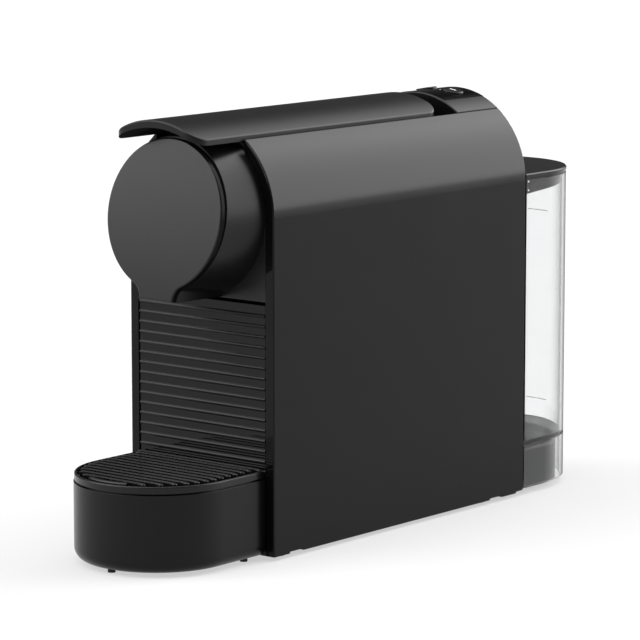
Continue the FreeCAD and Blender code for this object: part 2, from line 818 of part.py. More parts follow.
def nose_housing():
    """Tapered drum with the spout duct along its underside, open to the fascia and to the face."""
    duct_points = [
        (-DUCT_BACK_HALF, FASCIA_FRONT, DUCT_LOW),
        (DUCT_BACK_HALF, FASCIA_FRONT, DUCT_LOW),
        (DUCT_FRONT_HALF, DUCT_FRONT, DUCT_LOW),
        (-DUCT_FRONT_HALF, DUCT_FRONT, DUCT_LOW),
    ]
    duct = drawn(outline(duct_points), V(0, 0, DUCT_HIGH - DUCT_LOW))
    outer = fuse([nose_drum(0, FASCIA_FRONT), duct])
    behind = on_face(box((-FAR, FAR), (-FAR, FAR), (-FAR, -FACE_THICK)))
    mouth = box(
        (-MOUTH_HALF, MOUTH_HALF),
        (SPOUT_Y - MOUTH_HALF, SPOUT_Y + MOUTH_HALF),
        (DUCT_LOW - OVER, ARCH_Z),
    )
    back = (0, FASCIA_FRONT, ARCH_Z)
    hollow = [
        nose_drum(NOSE_WALL, FASCIA_FRONT),
        rod(NOSE_BASE_R - NOSE_WALL, back, (0, FASCIA_FRONT + OVER, ARCH_Z)),
    ]
    return outer.common(behind).cut([fuse(hollow), mouth])


def coffee_spout():
    """Elbow from the extraction plate to the nozzle over the cup."""
    start = (0, PLATE_FRONT - PLATE_FLANGE, SPOUT_Z)
    body = fuse([
        rod(SPOUT_ARM_R, start, (0, SPOUT_Y, SPOUT_Z)),
        rod(SPOUT_R, (0, SPOUT_Y, SPOUT_LOW), (0, SPOUT_Y, SPOUT_Z + SPOUT_R)),
    ])
    bores = [
        rod(SPOUT_ARM_BORE, (0, start[1] + OVER, SPOUT_Z), (0, SPOUT_Y, SPOUT_Z)),
        rod(SPOUT_BORE, (0, SPOUT_Y, SPOUT_LOW - OVER), (0, SPOUT_Y, SPOUT_Z + SPOUT_BORE)),
    ]
    return body.cut(bores)


# Brew unit


def brew_frame():
    """Two cheeks with hinge bosses, the plate that holds the extraction plate, and the cage guide."""
    cheek = box((CHEEK_IN, CHEEK_OUT), (PLATE_FRONT, CHEEK_BACK), (CHEEK_LOW, CHEEK_TOP))
    boss = rod(HINGE_HUB, (CHEEK_IN, HINGE_Y, HINGE_Z), (CHEEK_OUT, HINGE_Y, HINGE_Z))
    cheek = fuse([cheek, boss])
    behind_hub = box(
        (CHEEK_IN - OVER, CHEEK_OUT + OVER),
        (RELIEF_Y, FAR),
        (RELIEF_LOW, FAR),
    ).cut(rod(HINGE_HUB, (0, HINGE_Y, HINGE_Z), (FAR, HINGE_Y, HINGE_Z)))
    cuts = [rod(HINGE_R + FIT_GAP, (0, HINGE_Y, HINGE_Z), (FAR, HINGE_Y, HINGE_Z)), behind_hub]
    for ys in CHEEK_WINDOWS:
        window = box((CHEEK_IN - OVER, CHEEK_OUT + OVER), ys, WINDOW_Z)
        cuts.append(window.makeFillet(WINDOW_ROUND, [e for e in window.Edges if is_along(e, 0)]))
    sides = both_sides(cheek.cut(cuts))
    holder = box((-CHEEK_IN, CHEEK_IN), (PLATE_FRONT, PLATE_BACK), (FRAME_PLATE_LOW, CHEEK_TOP))
    holder = holder.cut(rod(PLATE_R, (0, PLATE_FRONT - OVER, ARCH_Z), (0, PLATE_BACK + OVER, ARCH_Z)))
    guide = box((-CHEEK_IN, CHEEK_IN), GUIDE_Y, (FRAME_PLATE_LOW, CHEEK_TOP))
    way = rod(CAGE_R + GUIDE_GAP, (0, GUIDE_Y[0] - OVER, ARCH_Z), (0, GUIDE_Y[1] + OVER, ARCH_Z))
    return fuse(sides + [holder, guide.cut(way)])


def extraction_plate():
    """Round plate that the capsule's lid is pressed on, with a field of square studs."""
    body = fuse([
        rod(PLATE_R - SEAT_GAP, (0, PLATE_FRONT, ARCH_Z), (0, PLATE_BACK, ARCH_Z)),
        rod(PLATE_FLANGE_R, (0, PLATE_FRONT - PLATE_FLANGE, ARCH_Z), (0, PLATE_FRONT, ARCH_Z)),
    ])
    groove = tube(
        SEAL_R,
        SEAL_IN,
        (0, PLATE_BACK - SEAL_DEPTH, ARCH_Z),
        (0, PLATE_BACK + OVER, ARCH_Z),
    )
    seat = rod(SEAT_R, (0, PLATE_BACK - SEAT_DEPTH, ARCH_Z), (0, PLATE_BACK + OVER, ARCH_Z))
    front = PLATE_FRONT - PLATE_FLANGE - OVER
    outlet = rod(SPOUT_ARM_BORE, (0, front, SPOUT_Z), (0, PLATE_BACK, SPOUT_Z))
    studs = []
    for i in range(-STUD_REACH, STUD_REACH + 1):
        for j in range(-STUD_REACH, STUD_REACH + 1):
            if (i, j) != (0, -STUD_REACH):
                x = i * STUD_PITCH
                z = ARCH_Z + j * STUD_PITCH
                floor = PLATE_BACK - SEAT_DEPTH
                xs = (x - STUD / 2, x + STUD / 2)
                studs.append(box(xs, (floor - OVER, floor + OVER), (z - STUD / 2, z + STUD / 2)))
    return fuse([body.cut([groove, seat, outlet])] + studs)


def extraction_seal():
    return tube(
        SEAL_R - SEAT_GAP,
        SEAL_IN + SEAT_GAP,
        (0, PLATE_BACK - SEAL_DEPTH, ARCH_Z),
        (0, PLATE_BACK, ARCH_Z),
    )


def capsule_cage():
    """Cup that carries the capsule, with a tapered bore, a rear neck and the cross hole for its pin."""
    body = rod(CAGE_R, (0, CAGE_FRONT, ARCH_Z), (0, CAGE_BACK, ARCH_Z))
    neck = box(
        (-CAGE_NECK_HALF, CAGE_NECK_HALF),
        (CAGE_BACK - OVER, CAGE_NECK_BACK),
        (ARCH_Z - CAGE_NECK_RISE, ARCH_Z + CAGE_NECK_RISE),
    )
    bore = Part.makeCone(CAGE_MOUTH_R, CAGE_FLOOR_R, CAGE_DEPTH, V(0, CAGE_FRONT, ARCH_Z), V(0, 1, 0))
    water = rod(FEED_R + FIT_GAP, (0, CAGE_FRONT, ARCH_Z), (0, CAGE_NECK_BACK + OVER, ARCH_Z))
    pin = rod(KNEE_R + FIT_GAP, (-FAR, CAGE_PIN_Y, ARCH_Z), (FAR, CAGE_PIN_Y, ARCH_Z))
    return fuse([body, neck]).cut([bore, water, pin])


def piercing_needles():
    """Three pointed pyramids on the floor of the cage."""
    floor = CAGE_FRONT + CAGE_DEPTH
    needles = []
    for k in range(NEEDLE_COUNT):
        angle = math.radians(90 + 360 * k / NEEDLE_COUNT)
        x = NEEDLE_RING * math.cos(angle)
        z = ARCH_Z + NEEDLE_RING * math.sin(angle)
        needle = Part.makeWedge(
            -NEEDLE_TIP, -NEEDLE_LENGTH, -NEEDLE_TIP, -NEEDLE_HALF, -NEEDLE_HALF,
            NEEDLE_TIP, 0, NEEDLE_TIP, NEEDLE_HALF, NEEDLE_HALF,
        )
        needle.translate(V(x, floor, z))
        needles.append(needle)
    return Part.makeCompound(needles)


def cage_pin():
    reach = LINK_OUT + PIN_OVERHANG
    return rod(KNEE_R, (-reach, CAGE_PIN_Y, ARCH_Z), (reach, CAGE_PIN_Y, ARCH_Z))


def feed_tube():
    """Steel tube that slides in the heater's outlet as the cage moves, stopped short of the cage pin."""
    start = CAGE_PIN_Y + KNEE_R + FEED_STOP
    return tube(FEED_R, FEED_R / 2, (0, start, ARCH_Z), (0, FEED_BACK, ARCH_Z))


# Lever


def lever():
    """Curved plate over the slot, with two ears for the hinge and the knee pins."""
    ys = (LEVER_FRONT, LEVER_BACK)
    outer = rod(LEVER_R, (0, ys[0], LEVER_ARC_Z), (0, ys[1], LEVER_ARC_Z))
    under_z = LEVER_ARC_Z + LEVER_R - LEVER_THICK - LEVER_UNDER_R
    plan = round_box((-LEVER_HALF, LEVER_HALF), ys, (LEVER_ARC_Z, LEVER_ARC_Z + FAR), LEVER_CORNER)
    cap = outer.common(plan)
    crown = [e for e in cap.Edges if e.BoundBox.ZMin > LEVER_ARC_Z + OVER and not is_along(e, 2)]
    cap = cap.makeFillet(LEVER_EDGE, crown)
    plate = cap.cut(rod(LEVER_UNDER_R, (0, ys[0] - OVER, under_z), (0, ys[1] + OVER, under_z)))
    xs = (EAR_IN, EAR_OUT)
    hub = rod(HINGE_HUB, (xs[0], HINGE_Y, HINGE_Z), (xs[1], HINGE_Y, HINGE_Z))
    knee = rod(KNEE_HUB, (xs[0], KNEE_Y, KNEE_Z), (xs[1], KNEE_Y, KNEE_Z))
    web_points = [
        (xs[0], KNEE_Y - KNEE_HUB, KNEE_Z),
        (xs[0], KNEE_Y, KNEE_Z - KNEE_HUB),
        (xs[0], HINGE_Y, HINGE_Z - HINGE_HUB),
        (xs[0], HINGE_Y + HINGE_HUB, HINGE_Z),
        (xs[0], HINGE_Y + HINGE_HUB, LEVER_ARC_Z + LEVER_R),
        (xs[0], KNEE_Y - KNEE_HUB, LEVER_ARC_Z + LEVER_R),
    ]
    web = drawn(outline(web_points), V(xs[1] - xs[0], 0, 0))
    under = rod(LEVER_UNDER_R + OVER, (0, ys[0], under_z), (0, ys[1], under_z))
    ear = fuse([hub, knee, web]).common(under)
    ear = ear.cut([
        rod(HINGE_R + RUN_GAP, (0, HINGE_Y, HINGE_Z), (FAR, HINGE_Y, HINGE_Z)),
        rod(KNEE_R + FIT_GAP, (0, KNEE_Y, KNEE_Z), (FAR, KNEE_Y, KNEE_Z)),
    ])
    return fuse([plate] + both_sides(ear))


def hinge_pins():
    pin = rod(HINGE_R, (EAR_IN - PIN_OVERHANG, HINGE_Y, HINGE_Z), (CHEEK_OUT, HINGE_Y, HINGE_Z))
    return Part.makeCompound(both_sides(pin))


def knee_pins():
    pin = rod(KNEE_R, (LINK_IN - PIN_OVERHANG, KNEE_Y, KNEE_Z), (EAR_OUT, KNEE_Y, KNEE_Z))
    return Part.makeCompound(both_sides(pin))


def toggle_links():
    """Pair of links from the knee to the cage; the lower eye has room round the cage pin."""
    knee = V(LINK_IN, KNEE_Y, KNEE_Z)
    low = V(LINK_IN, CAGE_PIN_Y, ARCH_Z)
    way = (low - knee).normalize()
    side = V(0, -way.z, way.y) * LINK_HALF
    wide = V(LINK_OUT - LINK_IN, 0, 0)
    corners = [knee + side, low + side, low - side, knee - side]
    bar = drawn(outline([tuple(c) for c in corners]), wide)
    top_eye = Part.makeCylinder(KNEE_HUB, LINK_OUT - LINK_IN, knee, V(1, 0, 0))
    low_eye = Part.makeCylinder(LINK_EYE_R, LINK_OUT - LINK_IN, low, V(1, 0, 0))
    link = fuse([bar, top_eye, low_eye]).cut([
        rod(KNEE_R + RUN_GAP, (0, KNEE_Y, KNEE_Z), (FAR, KNEE_Y, KNEE_Z)),
        rod(LINK_EYE_HOLE, (0, CAGE_PIN_Y, ARCH_Z), (FAR, CAGE_PIN_Y, ARCH_Z)),
    ])
    return Part.makeCompound(both_sides(link))


def top_deck():
    """Inner cover under the lever: arched sheet on the cheeks, with the walled capsule chute."""
    ys = (FASCIA_BACK, DECK_BACK)
    ring = rod(DECK_R, (0, ys[0], ARCH_Z), (0, ys[1], ARCH_Z))
    inner = rod(DECK_R - DECK_THICK, (0, ys[0] - OVER, ARCH_Z), (0, ys[1] + OVER, ARCH_Z))
    sheet = ring.cut(inner).common(box((-DECK_HALF, DECK_HALF), ys, (ARCH_Z, ARCH_Z + FAR)))
    under = rod(DECK_R - DECK_THICK / 2, (0, ys[0], ARCH_Z), (0, ys[1], ARCH_Z))
    skirt = box((CHEEK_IN, CHEEK_OUT), ys, (CHEEK_TOP, ARCH_Z + FAR)).common(under)
    wall = CHUTE_WALL
    outside = box(
        (-CHUTE_HALF - wall, CHUTE_HALF + wall),
        (CHUTE_Y[0], CHUTE_Y[1] + wall),
        (CHUTE_LOW, ARCH_Z + FAR),
    ).common(under)
    chute = box((-CHUTE_HALF, CHUTE_HALF), CHUTE_Y, (CHUTE_LOW - OVER, ARCH_Z + FAR))
    return fuse([sheet, outside] + both_sides(skirt)).cut(chute)


# Works behind the capsule bin


def shelf():
    """Level plate on the covers' ribs, with the drop hole for used capsules."""
    plate = box((-BASE_HALF, BASE_HALF), (FASCIA_BACK, SHELF_BACK), SHELF_Z)
    cuts = [
        box((-SHELF_DROP_HALF, SHELF_DROP_HALF), SHELF_DROP_Y, (SHELF_Z[0] - OVER, SHELF_Z[1] + OVER)),
        rod(SHELF_HOSE_R, (0, PUMP_OUT_Y, SHELF_Z[0] - OVER), (0, PUMP_OUT_Y, SHELF_Z[1] + OVER)),
    ]
    return plate.cut(cuts)


def heater():
    """Round heater block with raised rings, two legs, a water inlet and the bore for the feed tube."""
    pieces = [
        rod(HEATER_R, (0, HEATER_Y[0], HEATER_Z), (0, HEATER_Y[1], HEATER_Z)),
        box((-HEATER_BOSS_HALF, HEATER_BOSS_HALF), HEATER_BOSS_Y, HEATER_BOSS_Z),
    ]
    step = (HEATER_Y[1] - HEATER_Y[0] - HEATER_RING) / (HEATER_RINGS - 1)
    for i in range(HEATER_RINGS):
        y = HEATER_Y[0] + i * step
        pieces.append(rod(HEATER_RING_R, (0, y, HEATER_Z), (0, y + HEATER_RING, HEATER_Z)))
    for ys in HEATER_LEGS_Y:
        pieces.append(box((-HEATER_LEG_HALF, HEATER_LEG_HALF), ys, (SHELF_Z[1], HEATER_Z)))
    start = (0, HEATER_Y[0] - HOSE_GRIP, HEATER_NIPPLE_Z)
    pieces.append(rod(NIPPLE_R, start, (0, HEATER_Y[0] + OVER, HEATER_NIPPLE_Z)))
    bore = rod(HEATER_BORE, (0, HEATER_BOSS_Y[0] - OVER, ARCH_Z), (0, HEATER_BORE_END, ARCH_Z))
    return fuse(pieces).cut(bore)


def pump():
    """Vibrating pump: coil block on a round body, with an upward outlet and a rear inlet."""
    coil = box((-COIL_HALF, COIL_HALF), COIL_Y, (PUMP_Z - COIL_HALF, PUMP_Z + COIL_HALF))
    coil = coil.makeFillet(COIL_ROUND, [e for e in coil.Edges if is_along(e, 1)])
    return fuse([
        coil,
        rod(PUMP_BODY_R, (0, PUMP_BODY_Y[0], PUMP_Z), (0, PUMP_BODY_Y[1], PUMP_Z)),
        rod(PUMP_ELBOW_R, (0, PUMP_ELBOW_Y, PUMP_Z), (0, PUMP_BODY_Y[0], PUMP_Z)),
        rod(NIPPLE_R, (0, PUMP_OUT_Y, PUMP_Z), (0, PUMP_OUT_Y, PUMP_OUT_TOP)),
        rod(NIPPLE_R, (0, PUMP_BODY_Y[1], PUMP_Z), (0, PUMP_IN_Y, PUMP_Z)),
    ])


def pump_rings():
    rings = []
    for ys in RING_Y:
        rings.append(tube(RING_R, PUMP_BODY_R + SEAT_GAP, (0, ys[0], PUMP_Z), (0, ys[1], PUMP_Z)))
    return Part.makeCompound(rings)


def flow_meter():
    """Flat round meter on a foot, with a rear inlet and a top outlet."""
    return fuse([
        rod(METER_R, (0, METER_Y, METER_Z[0]), (0, METER_Y, METER_Z[1])),
        rod(METER_FOOT_R, (0, METER_Y, BASE_TOP), (0, METER_Y, METER_Z[0])),
        rod(NIPPLE_R, (0, METER_Y, METER_PORT_Z), (0, METER_PORT_Y, METER_PORT_Z)),
        rod(NIPPLE_R, (0, METER_Y, METER_Z[1]), (0, METER_Y, METER_TOP)),
    ])


def suction_hose():
    start = METER_PORT_Y - HOSE_GRIP + HOSE_ROOM
    end = PORT_NIPPLE_Y + HOSE_GRIP
    return tube(HOSE_R, HOSE_BORE, (0, start, METER_PORT_Z), (0, end, METER_PORT_Z))


def pump_hose():
    points = [
        (0, METER_Y, METER_TOP - HOSE_GRIP),
        (0, METER_Y, PUMP_Z),
        (0, PUMP_IN_Y - HOSE_GRIP, PUMP_Z),
    ]
    return hose(points, PUMP_HOSE_BEND, HOSE_R, HOSE_BORE)


def feed_hose():
    points = [
        (0, PUMP_OUT_Y, PUMP_OUT_TOP - HOSE_GRIP),
        (0, PUMP_OUT_Y, HEATER_NIPPLE_Z),
        (0, HEATER_Y[0], HEATER_NIPPLE_Z),
    ]
    return hose(points, FEED_HOSE_BEND, HOSE_R, HOSE_BORE)


def control_board():
    """Upright circuit board with relays and capacitors."""
    xs = MAIN_BOARD_X
    pieces = [box(xs, MAIN_BOARD_Y, (BASE_TOP, MAIN_BOARD_TOP))]
    for y, z in RELAY_PLACES:
        pieces.append(box((xs[0] - RELAY[0], xs[0]), (y, y + RELAY[1]), (z, z + RELAY[2])))
    for y in CAPACITORS_Y:
        start = (xs[0] - CAPACITOR_LENGTH, y, CAPACITOR_Z)
        pieces.append(rod(CAPACITOR_R, start, (xs[0], y, CAPACITOR_Z)))
    return fuse(pieces)


# Tank dock and port


def tank_dock():
    """Hollow pedestal that the tank stands over, with a socket for the valve."""
    block = dee(DOCK_HALF, BACK, TANK_AXIS_Y, (SOLE, DOCK_TOP))
    crown = [e for e in edges_at(block, 2, DOCK_TOP) if e.BoundBox.YMax > BACK + OVER]
    block = block.makeChamfer(DOCK_BEVEL, crown)
    hollow = dee(DOCK_HALF - DOCK_WALL, BACK - OVER, TANK_AXIS_Y, (SOLE - OVER, DOCK_TOP - DOCK_WALL))
    pieces = [block.cut(hollow)]
    for x, y in DOCK_BOSSES:
        pieces.append(rod(DOCK_BOSS_R, (x, y, BASE_TOP), (x, y, DOCK_TOP - OVER)))
    low = DOCK_TOP - DOCK_WALL - OVER
    return fuse(pieces).cut(rod(PORT_HOLE_R, (0, VALVE_Y, low), (0, VALVE_Y, DOCK_TOP + OVER)))


def inlet_port():
    """Cup under the dock with the pin that lifts the tank's valve and a nipple for the hose."""
    flange_top = DOCK_TOP - DOCK_WALL
    body = fuse([
        rod(PORT_R, (0, VALVE_Y, PORT_Z[0]), (0, VALVE_Y, PORT_Z[1])),
        rod(PORT_FLANGE_R, (0, VALVE_Y, flange_top - PORT_FLANGE), (0, VALVE_Y, flange_top)),
        rod(NIPPLE_R, (0, PORT_NIPPLE_Y, METER_PORT_Z), (0, VALVE_Y - PORT_BORE, METER_PORT_Z)),
    ])
    body = body.cut([
        rod(PORT_BORE, (0, VALVE_Y, SEAL_RING_Z[0]), (0, VALVE_Y, PORT_Z[1] + OVER)),
        rod(PORT_WELL_R, (0, VALVE_Y, PORT_FLOOR), (0, VALVE_Y, PORT_Z[1])),
    ])
    pin = rod(PORT_PIN_R, (0, VALVE_Y, PORT_FLOOR - OVER), (0, VALVE_Y, PORT_PIN_TOP))
    return fuse([body, pin])


def port_seal():
    return tube(SEAL_RING_R, SEAL_RING_IN, (0, VALVE_Y, SEAL_RING_Z[0]), (0, VALVE_Y, SEAL_RING_Z[1]))


# Water tank


def tank_body():
    """Clear tank: D-shaped wall, raised floor on a seat ring, valve boss and a skirt round the dock."""
    block = dee(TANK_HALF, TANK_FRONT, TANK_AXIS_Y, (TANK_LOW, TANK_TOP))
    inner = TANK_HALF - TANK_WALL
    water = dee(inner, TANK_FRONT + TANK_WALL, TANK_AXIS_Y, (TANK_FLOOR[1], TANK_TOP + OVER))
    skirt = dee(inner, TANK_FRONT - OVER, TANK_AXIS_Y, (TANK_LOW - OVER, TANK_FLOOR[0]))
    waist = dee(TANK_HALF + OVER, TANK_FRONT, TANK_AXIS_Y, WAIST_Z)
    waist = waist.cut(dee(TANK_HALF - WAIST_DEPTH, TANK_FRONT, TANK_AXIS_Y, WAIST_Z))
    body = block.cut([water, skirt, waist])
    boss = rod(VALVE_BOSS_R, (0, VALVE_Y, VALVE_BOSS_LOW), (0, VALVE_Y, TANK_FLOOR[0] + OVER))
    bore = rod(VALVE_BORE, (0, VALVE_Y, VALVE_BOSS_LOW - OVER), (0, VALVE_Y, TANK_FLOOR[1] + OVER))
    seat = tube(
        TANK_SEAT_R,
        TANK_SEAT_R - TANK_SEAT_WALL,
        (0, VALVE_Y, DOCK_TOP),
        (0, VALVE_Y, TANK_FLOOR[0] + OVER),
    )
    return fuse([body, boss, seat]).cut(bore)


def tank_valve():
    """Poppet: a disc over the hole in the tank's floor and a stem through it."""
    return fuse([
        rod(VALVE_STEM_R, (0, VALVE_Y, VALVE_STEM_LOW), (0, VALVE_Y, VALVE_DISC_Z[1])),
        rod(VALVE_DISC_R, (0, VALVE_Y, VALVE_DISC_Z[0]), (0, VALVE_Y, VALVE_DISC_Z[1])),
    ])


def strainer():
    """Slotted cap over the valve."""
    zs = (TANK_FLOOR[1], STRAINER_TOP)
    body = rod(STRAINER_R, (0, VALVE_Y, zs[0]), (0, VALVE_Y, zs[1]))
    body = body.makeChamfer(STRAINER_BEVEL, edges_at(body, 2, STRAINER_TOP))
    inner = STRAINER_R - STRAINER_WALL
    cuts = [rod(inner, (0, VALVE_Y, zs[0] - OVER), (0, VALVE_Y, zs[1] - STRAINER_WALL))]
    for k in range(STRAINER_SLOTS // 2):
        half = STRAINER_SLOT_WIDTH / 2
        slot = box((-FAR, FAR), (VALVE_Y - half, VALVE_Y + half), STRAINER_SLOT_Z)
        slot.rotate(V(0, VALVE_Y, 0), V(0, 0, 1), (k + 0.5) * 360.0 / STRAINER_SLOTS)
        cuts.append(slot)
    return body.cut(cuts)


def tank_lid():
    """Lid with a stepped edge and a slanted rim that plugs the tank."""
    top = dee(LID_HALF, LID_FRONT, LID_AXIS_Y, (LID_STEP_Z, LID_TOP))
    top = top.makeChamfer(LID_BEVEL, edges_at(top, 2, LID_TOP))
    step = dee(LID_HALF - LID_STEP, LID_FRONT + LID_STEP, LID_AXIS_Y, (LID_LOW, LID_STEP_Z))
    zs = (RIM_LOW_FRONT, LID_LOW)
    rim = dee(RIM_HALF, RIM_FRONT, LID_AXIS_Y, zs)
    rim = rim.cut(dee(RIM_HALF - RIM_WALL, RIM_FRONT + RIM_WALL, LID_AXIS_Y, zs))
    back = LID_AXIS_Y + RIM_HALF
    slant = drawn(
        outline([
            (-FAR, RIM_FRONT, RIM_LOW_FRONT),
            (-FAR, back + OVER, RIM_LOW_BACK),
            (-FAR, back + OVER, RIM_LOW_FRONT - OVER),
            (-FAR, RIM_FRONT, RIM_LOW_FRONT - OVER),
        ]),
        V(2 * FAR, 0, 0),
    )
    cuts = [slant]
    for z in RIM_SLOT_Z:
        cuts.append(box((-FAR, FAR), RIM_SLOT_Y, (z, z + RIM_SLOT_HEIGHT)))
    return fuse([top, step, rim.cut(cuts)])


# Drawer: drip tray, ribbed panel and capsule bin


def drip_tray():
    """Tub with a rounded bottom edge, a ledge for the grille, and a sled that carries the bin."""
    tub = dee(TRAY_HALF, TRAY_BACK, TRAY_AXIS_Y, (TRAY_LOW, TRAY_TOP))
    sole = [e for e in edges_at(tub, 2, TRAY_LOW) if e.BoundBox.YMin < TRAY_BACK - OVER]
    tub = tub.makeFillet(TRAY_ROUND, sole)
    inner = TRAY_HALF - TRAY_WALL
    back = TRAY_BACK - TRAY_WALL
    hollow = dee(inner, back, TRAY_AXIS_Y, (TRAY_LOW + TRAY_FLOOR, TRAY_TOP + OVER))
    hollow = hollow.makeFillet(
        TRAY_ROUND - TRAY_WALL,
        [e for e in edges_at(hollow, 2, TRAY_LOW + TRAY_FLOOR) if e.BoundBox.YMin < back - OVER],
    )
    ledge = dee(inner + OVER, back, TRAY_AXIS_Y, LEDGE_Z)
    ledge = ledge.cut(dee(inner - LEDGE, back - LEDGE, TRAY_AXIS_Y, LEDGE_Z))
    zs = (SLED_LOW, RIB_PANEL_Z[0])
    bridge = box((-RIB_PANEL_HALF, RIB_PANEL_HALF), (TRAY_BACK, RIB_PANEL_Y[1]), zs)
    sled = box((-SLED_HALF, SLED_HALF), (RIB_PANEL_Y[0], SLED_BACK), (SLED_LOW, SLED_WALL_TOP))
    bay = box(
        (-SLED_HALF + SLED_WALL, SLED_HALF - SLED_WALL),
        (RIB_PANEL_Y[1], SLED_BACK - SLED_WALL),
        (SLED_LOW + SLED_FLOOR, SLED_WALL_TOP + OVER),
    )
    return fuse([tub.cut(hollow), ledge, bridge, sled.cut(bay)])


def tray_feet():
    feet = [rod(TRAY_FOOT_R, (x, y, 0), (x, y, TRAY_LOW)) for x, y in TRAY_FEET]
    return Part.makeCompound(feet)


def ribbed_panel():
    """Front panel of the drawer with a ladder of half-round ribs."""
    xs = (-RIB_PANEL_HALF, RIB_PANEL_HALF)
    pieces = [box(xs, RIB_PANEL_Y, RIB_PANEL_Z)]
    y = RIB_PANEL_Y[0] + RIB_SINK
    for i in range(RIB_COUNT):
        z = RIB_TOP_Z - i * RIB_PITCH
        pieces.append(rod(RIB_R, (xs[0], y, z), (xs[1], y, z)))
    return fuse(pieces)


def capsule_bin():
    """Open box for used capsules, standing in the sled behind the ribbed panel."""
    low = SLED_LOW + SLED_FLOOR
    xs = (-BIN_HALF, BIN_HALF)
    body = round_box(xs, (RIB_PANEL_Y[1], BIN_BACK), (low, BIN_TOP), BIN_ROUND)
    inner = (-BIN_HALF + BIN_WALL, BIN_HALF - BIN_WALL)
    ys = (RIB_PANEL_Y[1] + BIN_WALL, BIN_BACK - BIN_WALL)
    hollow = round_box(inner, ys, (low + BIN_WALL, BIN_TOP + OVER), BIN_ROUND - BIN_WALL)
    return body.cut(hollow)


def inner_half(y, half):
    """Half-width at Y inside the grille's rim."""
    ahead = TRAY_AXIS_Y - y
    if ahead <= 0:
        return half
    return math.sqrt(half ** 2 - ahead ** 2)


def grille_bar(y, half):
    """Crowned bar with rounded ends across the grille, on a lower cross tab that reaches the rim."""
    low = GRILLE_Z[0]
    top = GRILLE_Z[1]
    w = BAR_WIDTH / 2
    end = half - BAR_END_GAP
    side = top - BAR_CROWN
    edges = [
        line((-end, y - w, low), (-end, y + w, low)),
        line((-end, y + w, low), (-end, y + w, side)),
        arc((-end, y + w, side), (-end, y, top), (-end, y - w, side)),
        line((-end, y - w, side), (-end, y - w, low)),
    ]
    bar = drawn(edges, V(2 * end, 0, 0))
    bar = bar.common(round_box((-end, end), (y - w, y + w), (low, top + OVER), BAR_END_ROUND))
    tab = box((-half - OVER, half + OVER), (y - TAB_WIDTH / 2, y + TAB_WIDTH / 2), (low, TAB_TOP))
    return [bar, tab]


def drip_grille():
    """D-shaped rim with a locating lip, crowned bars, a curved front bar and two ribs underneath."""
    inner = GRILLE_HALF - GRILLE_WALL
    back = GRILLE_BACK - GRILLE_WALL
    rim = dee(GRILLE_HALF, GRILLE_BACK, TRAY_AXIS_Y, GRILLE_Z)
    rim = rim.makeChamfer(GRILLE_BEVEL, edges_at(rim, 2, GRILLE_Z[1]))
    rim = rim.cut(dee(inner, back, TRAY_AXIS_Y, (GRILLE_Z[0] - OVER, GRILLE_Z[1] + OVER)))
    lip_zs = (LEDGE_Z[1], GRILLE_Z[0] + OVER)
    lip_back = TRAY_BACK - TRAY_WALL - GRILLE_LIP_GAP
    lip = dee(GRILLE_LIP_HALF, lip_back, TRAY_AXIS_Y, lip_zs)
    lip = lip.cut(dee(GRILLE_LIP_HALF - GRILLE_LIP, lip_back - GRILLE_LIP, TRAY_AXIS_Y, lip_zs))
    pieces = [rim, lip]
    for i in range(BAR_COUNT):
        y = BAR_FIRST_Y - i * BAR_PITCH
        pieces += grille_bar(y, inner_half(y, inner))
    centre = (0, TRAY_AXIS_Y, GRILLE_Z[0])
    top = (0, TRAY_AXIS_Y, CRESCENT_TOP)
    crescent = tube(CRESCENT_R[1], CRESCENT_R[0], centre, top)
    reach = FAR * math.tan(math.radians(CRESCENT_ANGLE))
    fan = outline([
        (0, TRAY_AXIS_Y, GRILLE_Z[0]),
        (reach, TRAY_AXIS_Y - FAR, GRILLE_Z[0]),
        (-reach, TRAY_AXIS_Y - FAR, GRILLE_Z[0]),
    ])
    pieces.append(crescent.common(drawn(fan, V(0, 0, GRILLE_Z[1]))))
    for side in (-1, 1):
        xs = (side * GRILLE_RIB_X - GRILLE_RIB_HALF, side * GRILLE_RIB_X + GRILLE_RIB_HALF)
        ys = (TRAY_AXIS_Y - GRILLE_RIB_REACH, lip_back)
        pieces.append(box(xs, ys, (GRILLE_RIB_LOW, GRILLE_Z[0] + OVER)))
    return fuse(pieces)


def main():
    os.makedirs("parts", exist_ok=True)
    shell = casing()
    save("left_side_cover", side_cover(shell, -1))
    save("right_side_cover", side_cover(shell, 1))
    save("base_plate", base_plate())
    save("cord_gland", cord_gland())
    save("base_feet", base_feet())
    save("base_screws", base_screws())
    save("rear_panel", rear_panel())
    save("rear_cap", rear_cap())
    save("control_panel", control_panel())
    save("short_cup_button", cup_button(-1))
    save("long_cup_button", cup_button(1))
    save("button_board", button_board())
    save("front_fascia", front_fascia())
    save("nose_face", nose_face())
    save("nose_housing", nose_housing())
    save("coffee_spout", coffee_spout())
    save("brew_frame", brew_frame())
    save("extraction_plate", extraction_plate())
    save("extraction_seal", extraction_seal())
    save("capsule_cage", capsule_cage())
    save("piercing_needles", piercing_needles())
    save("cage_pin", cage_pin())
    save("feed_tube", feed_tube())
    save("lever", lever())
    save("hinge_pins", hinge_pins())
    save("knee_pins", knee_pins())
    save("toggle_links", toggle_links())
    save("top_deck", top_deck())
    save("shelf", shelf())
    save("heater", heater())
    save("pump", pump())
    save("pump_rings", pump_rings())
    save("flow_meter", flow_meter())
    save("suction_hose", suction_hose())
    save("pump_hose", pump_hose())
    save("feed_hose", feed_hose())
    save("control_board", control_board())
    save("tank_dock", tank_dock())
    save("inlet_port", inlet_port())
    save("port_seal", port_seal())
    save("tank_body", tank_body())
    save("tank_valve", tank_valve())
    save("strainer", strainer())
    save("tank_lid", tank_lid())
    save("drip_tray", drip_tray())
    save("tray_feet", tray_feet())
    save("ribbed_panel", ribbed_panel())
    save("capsule_bin", capsule_bin())
    save("drip_grille", drip_grille())


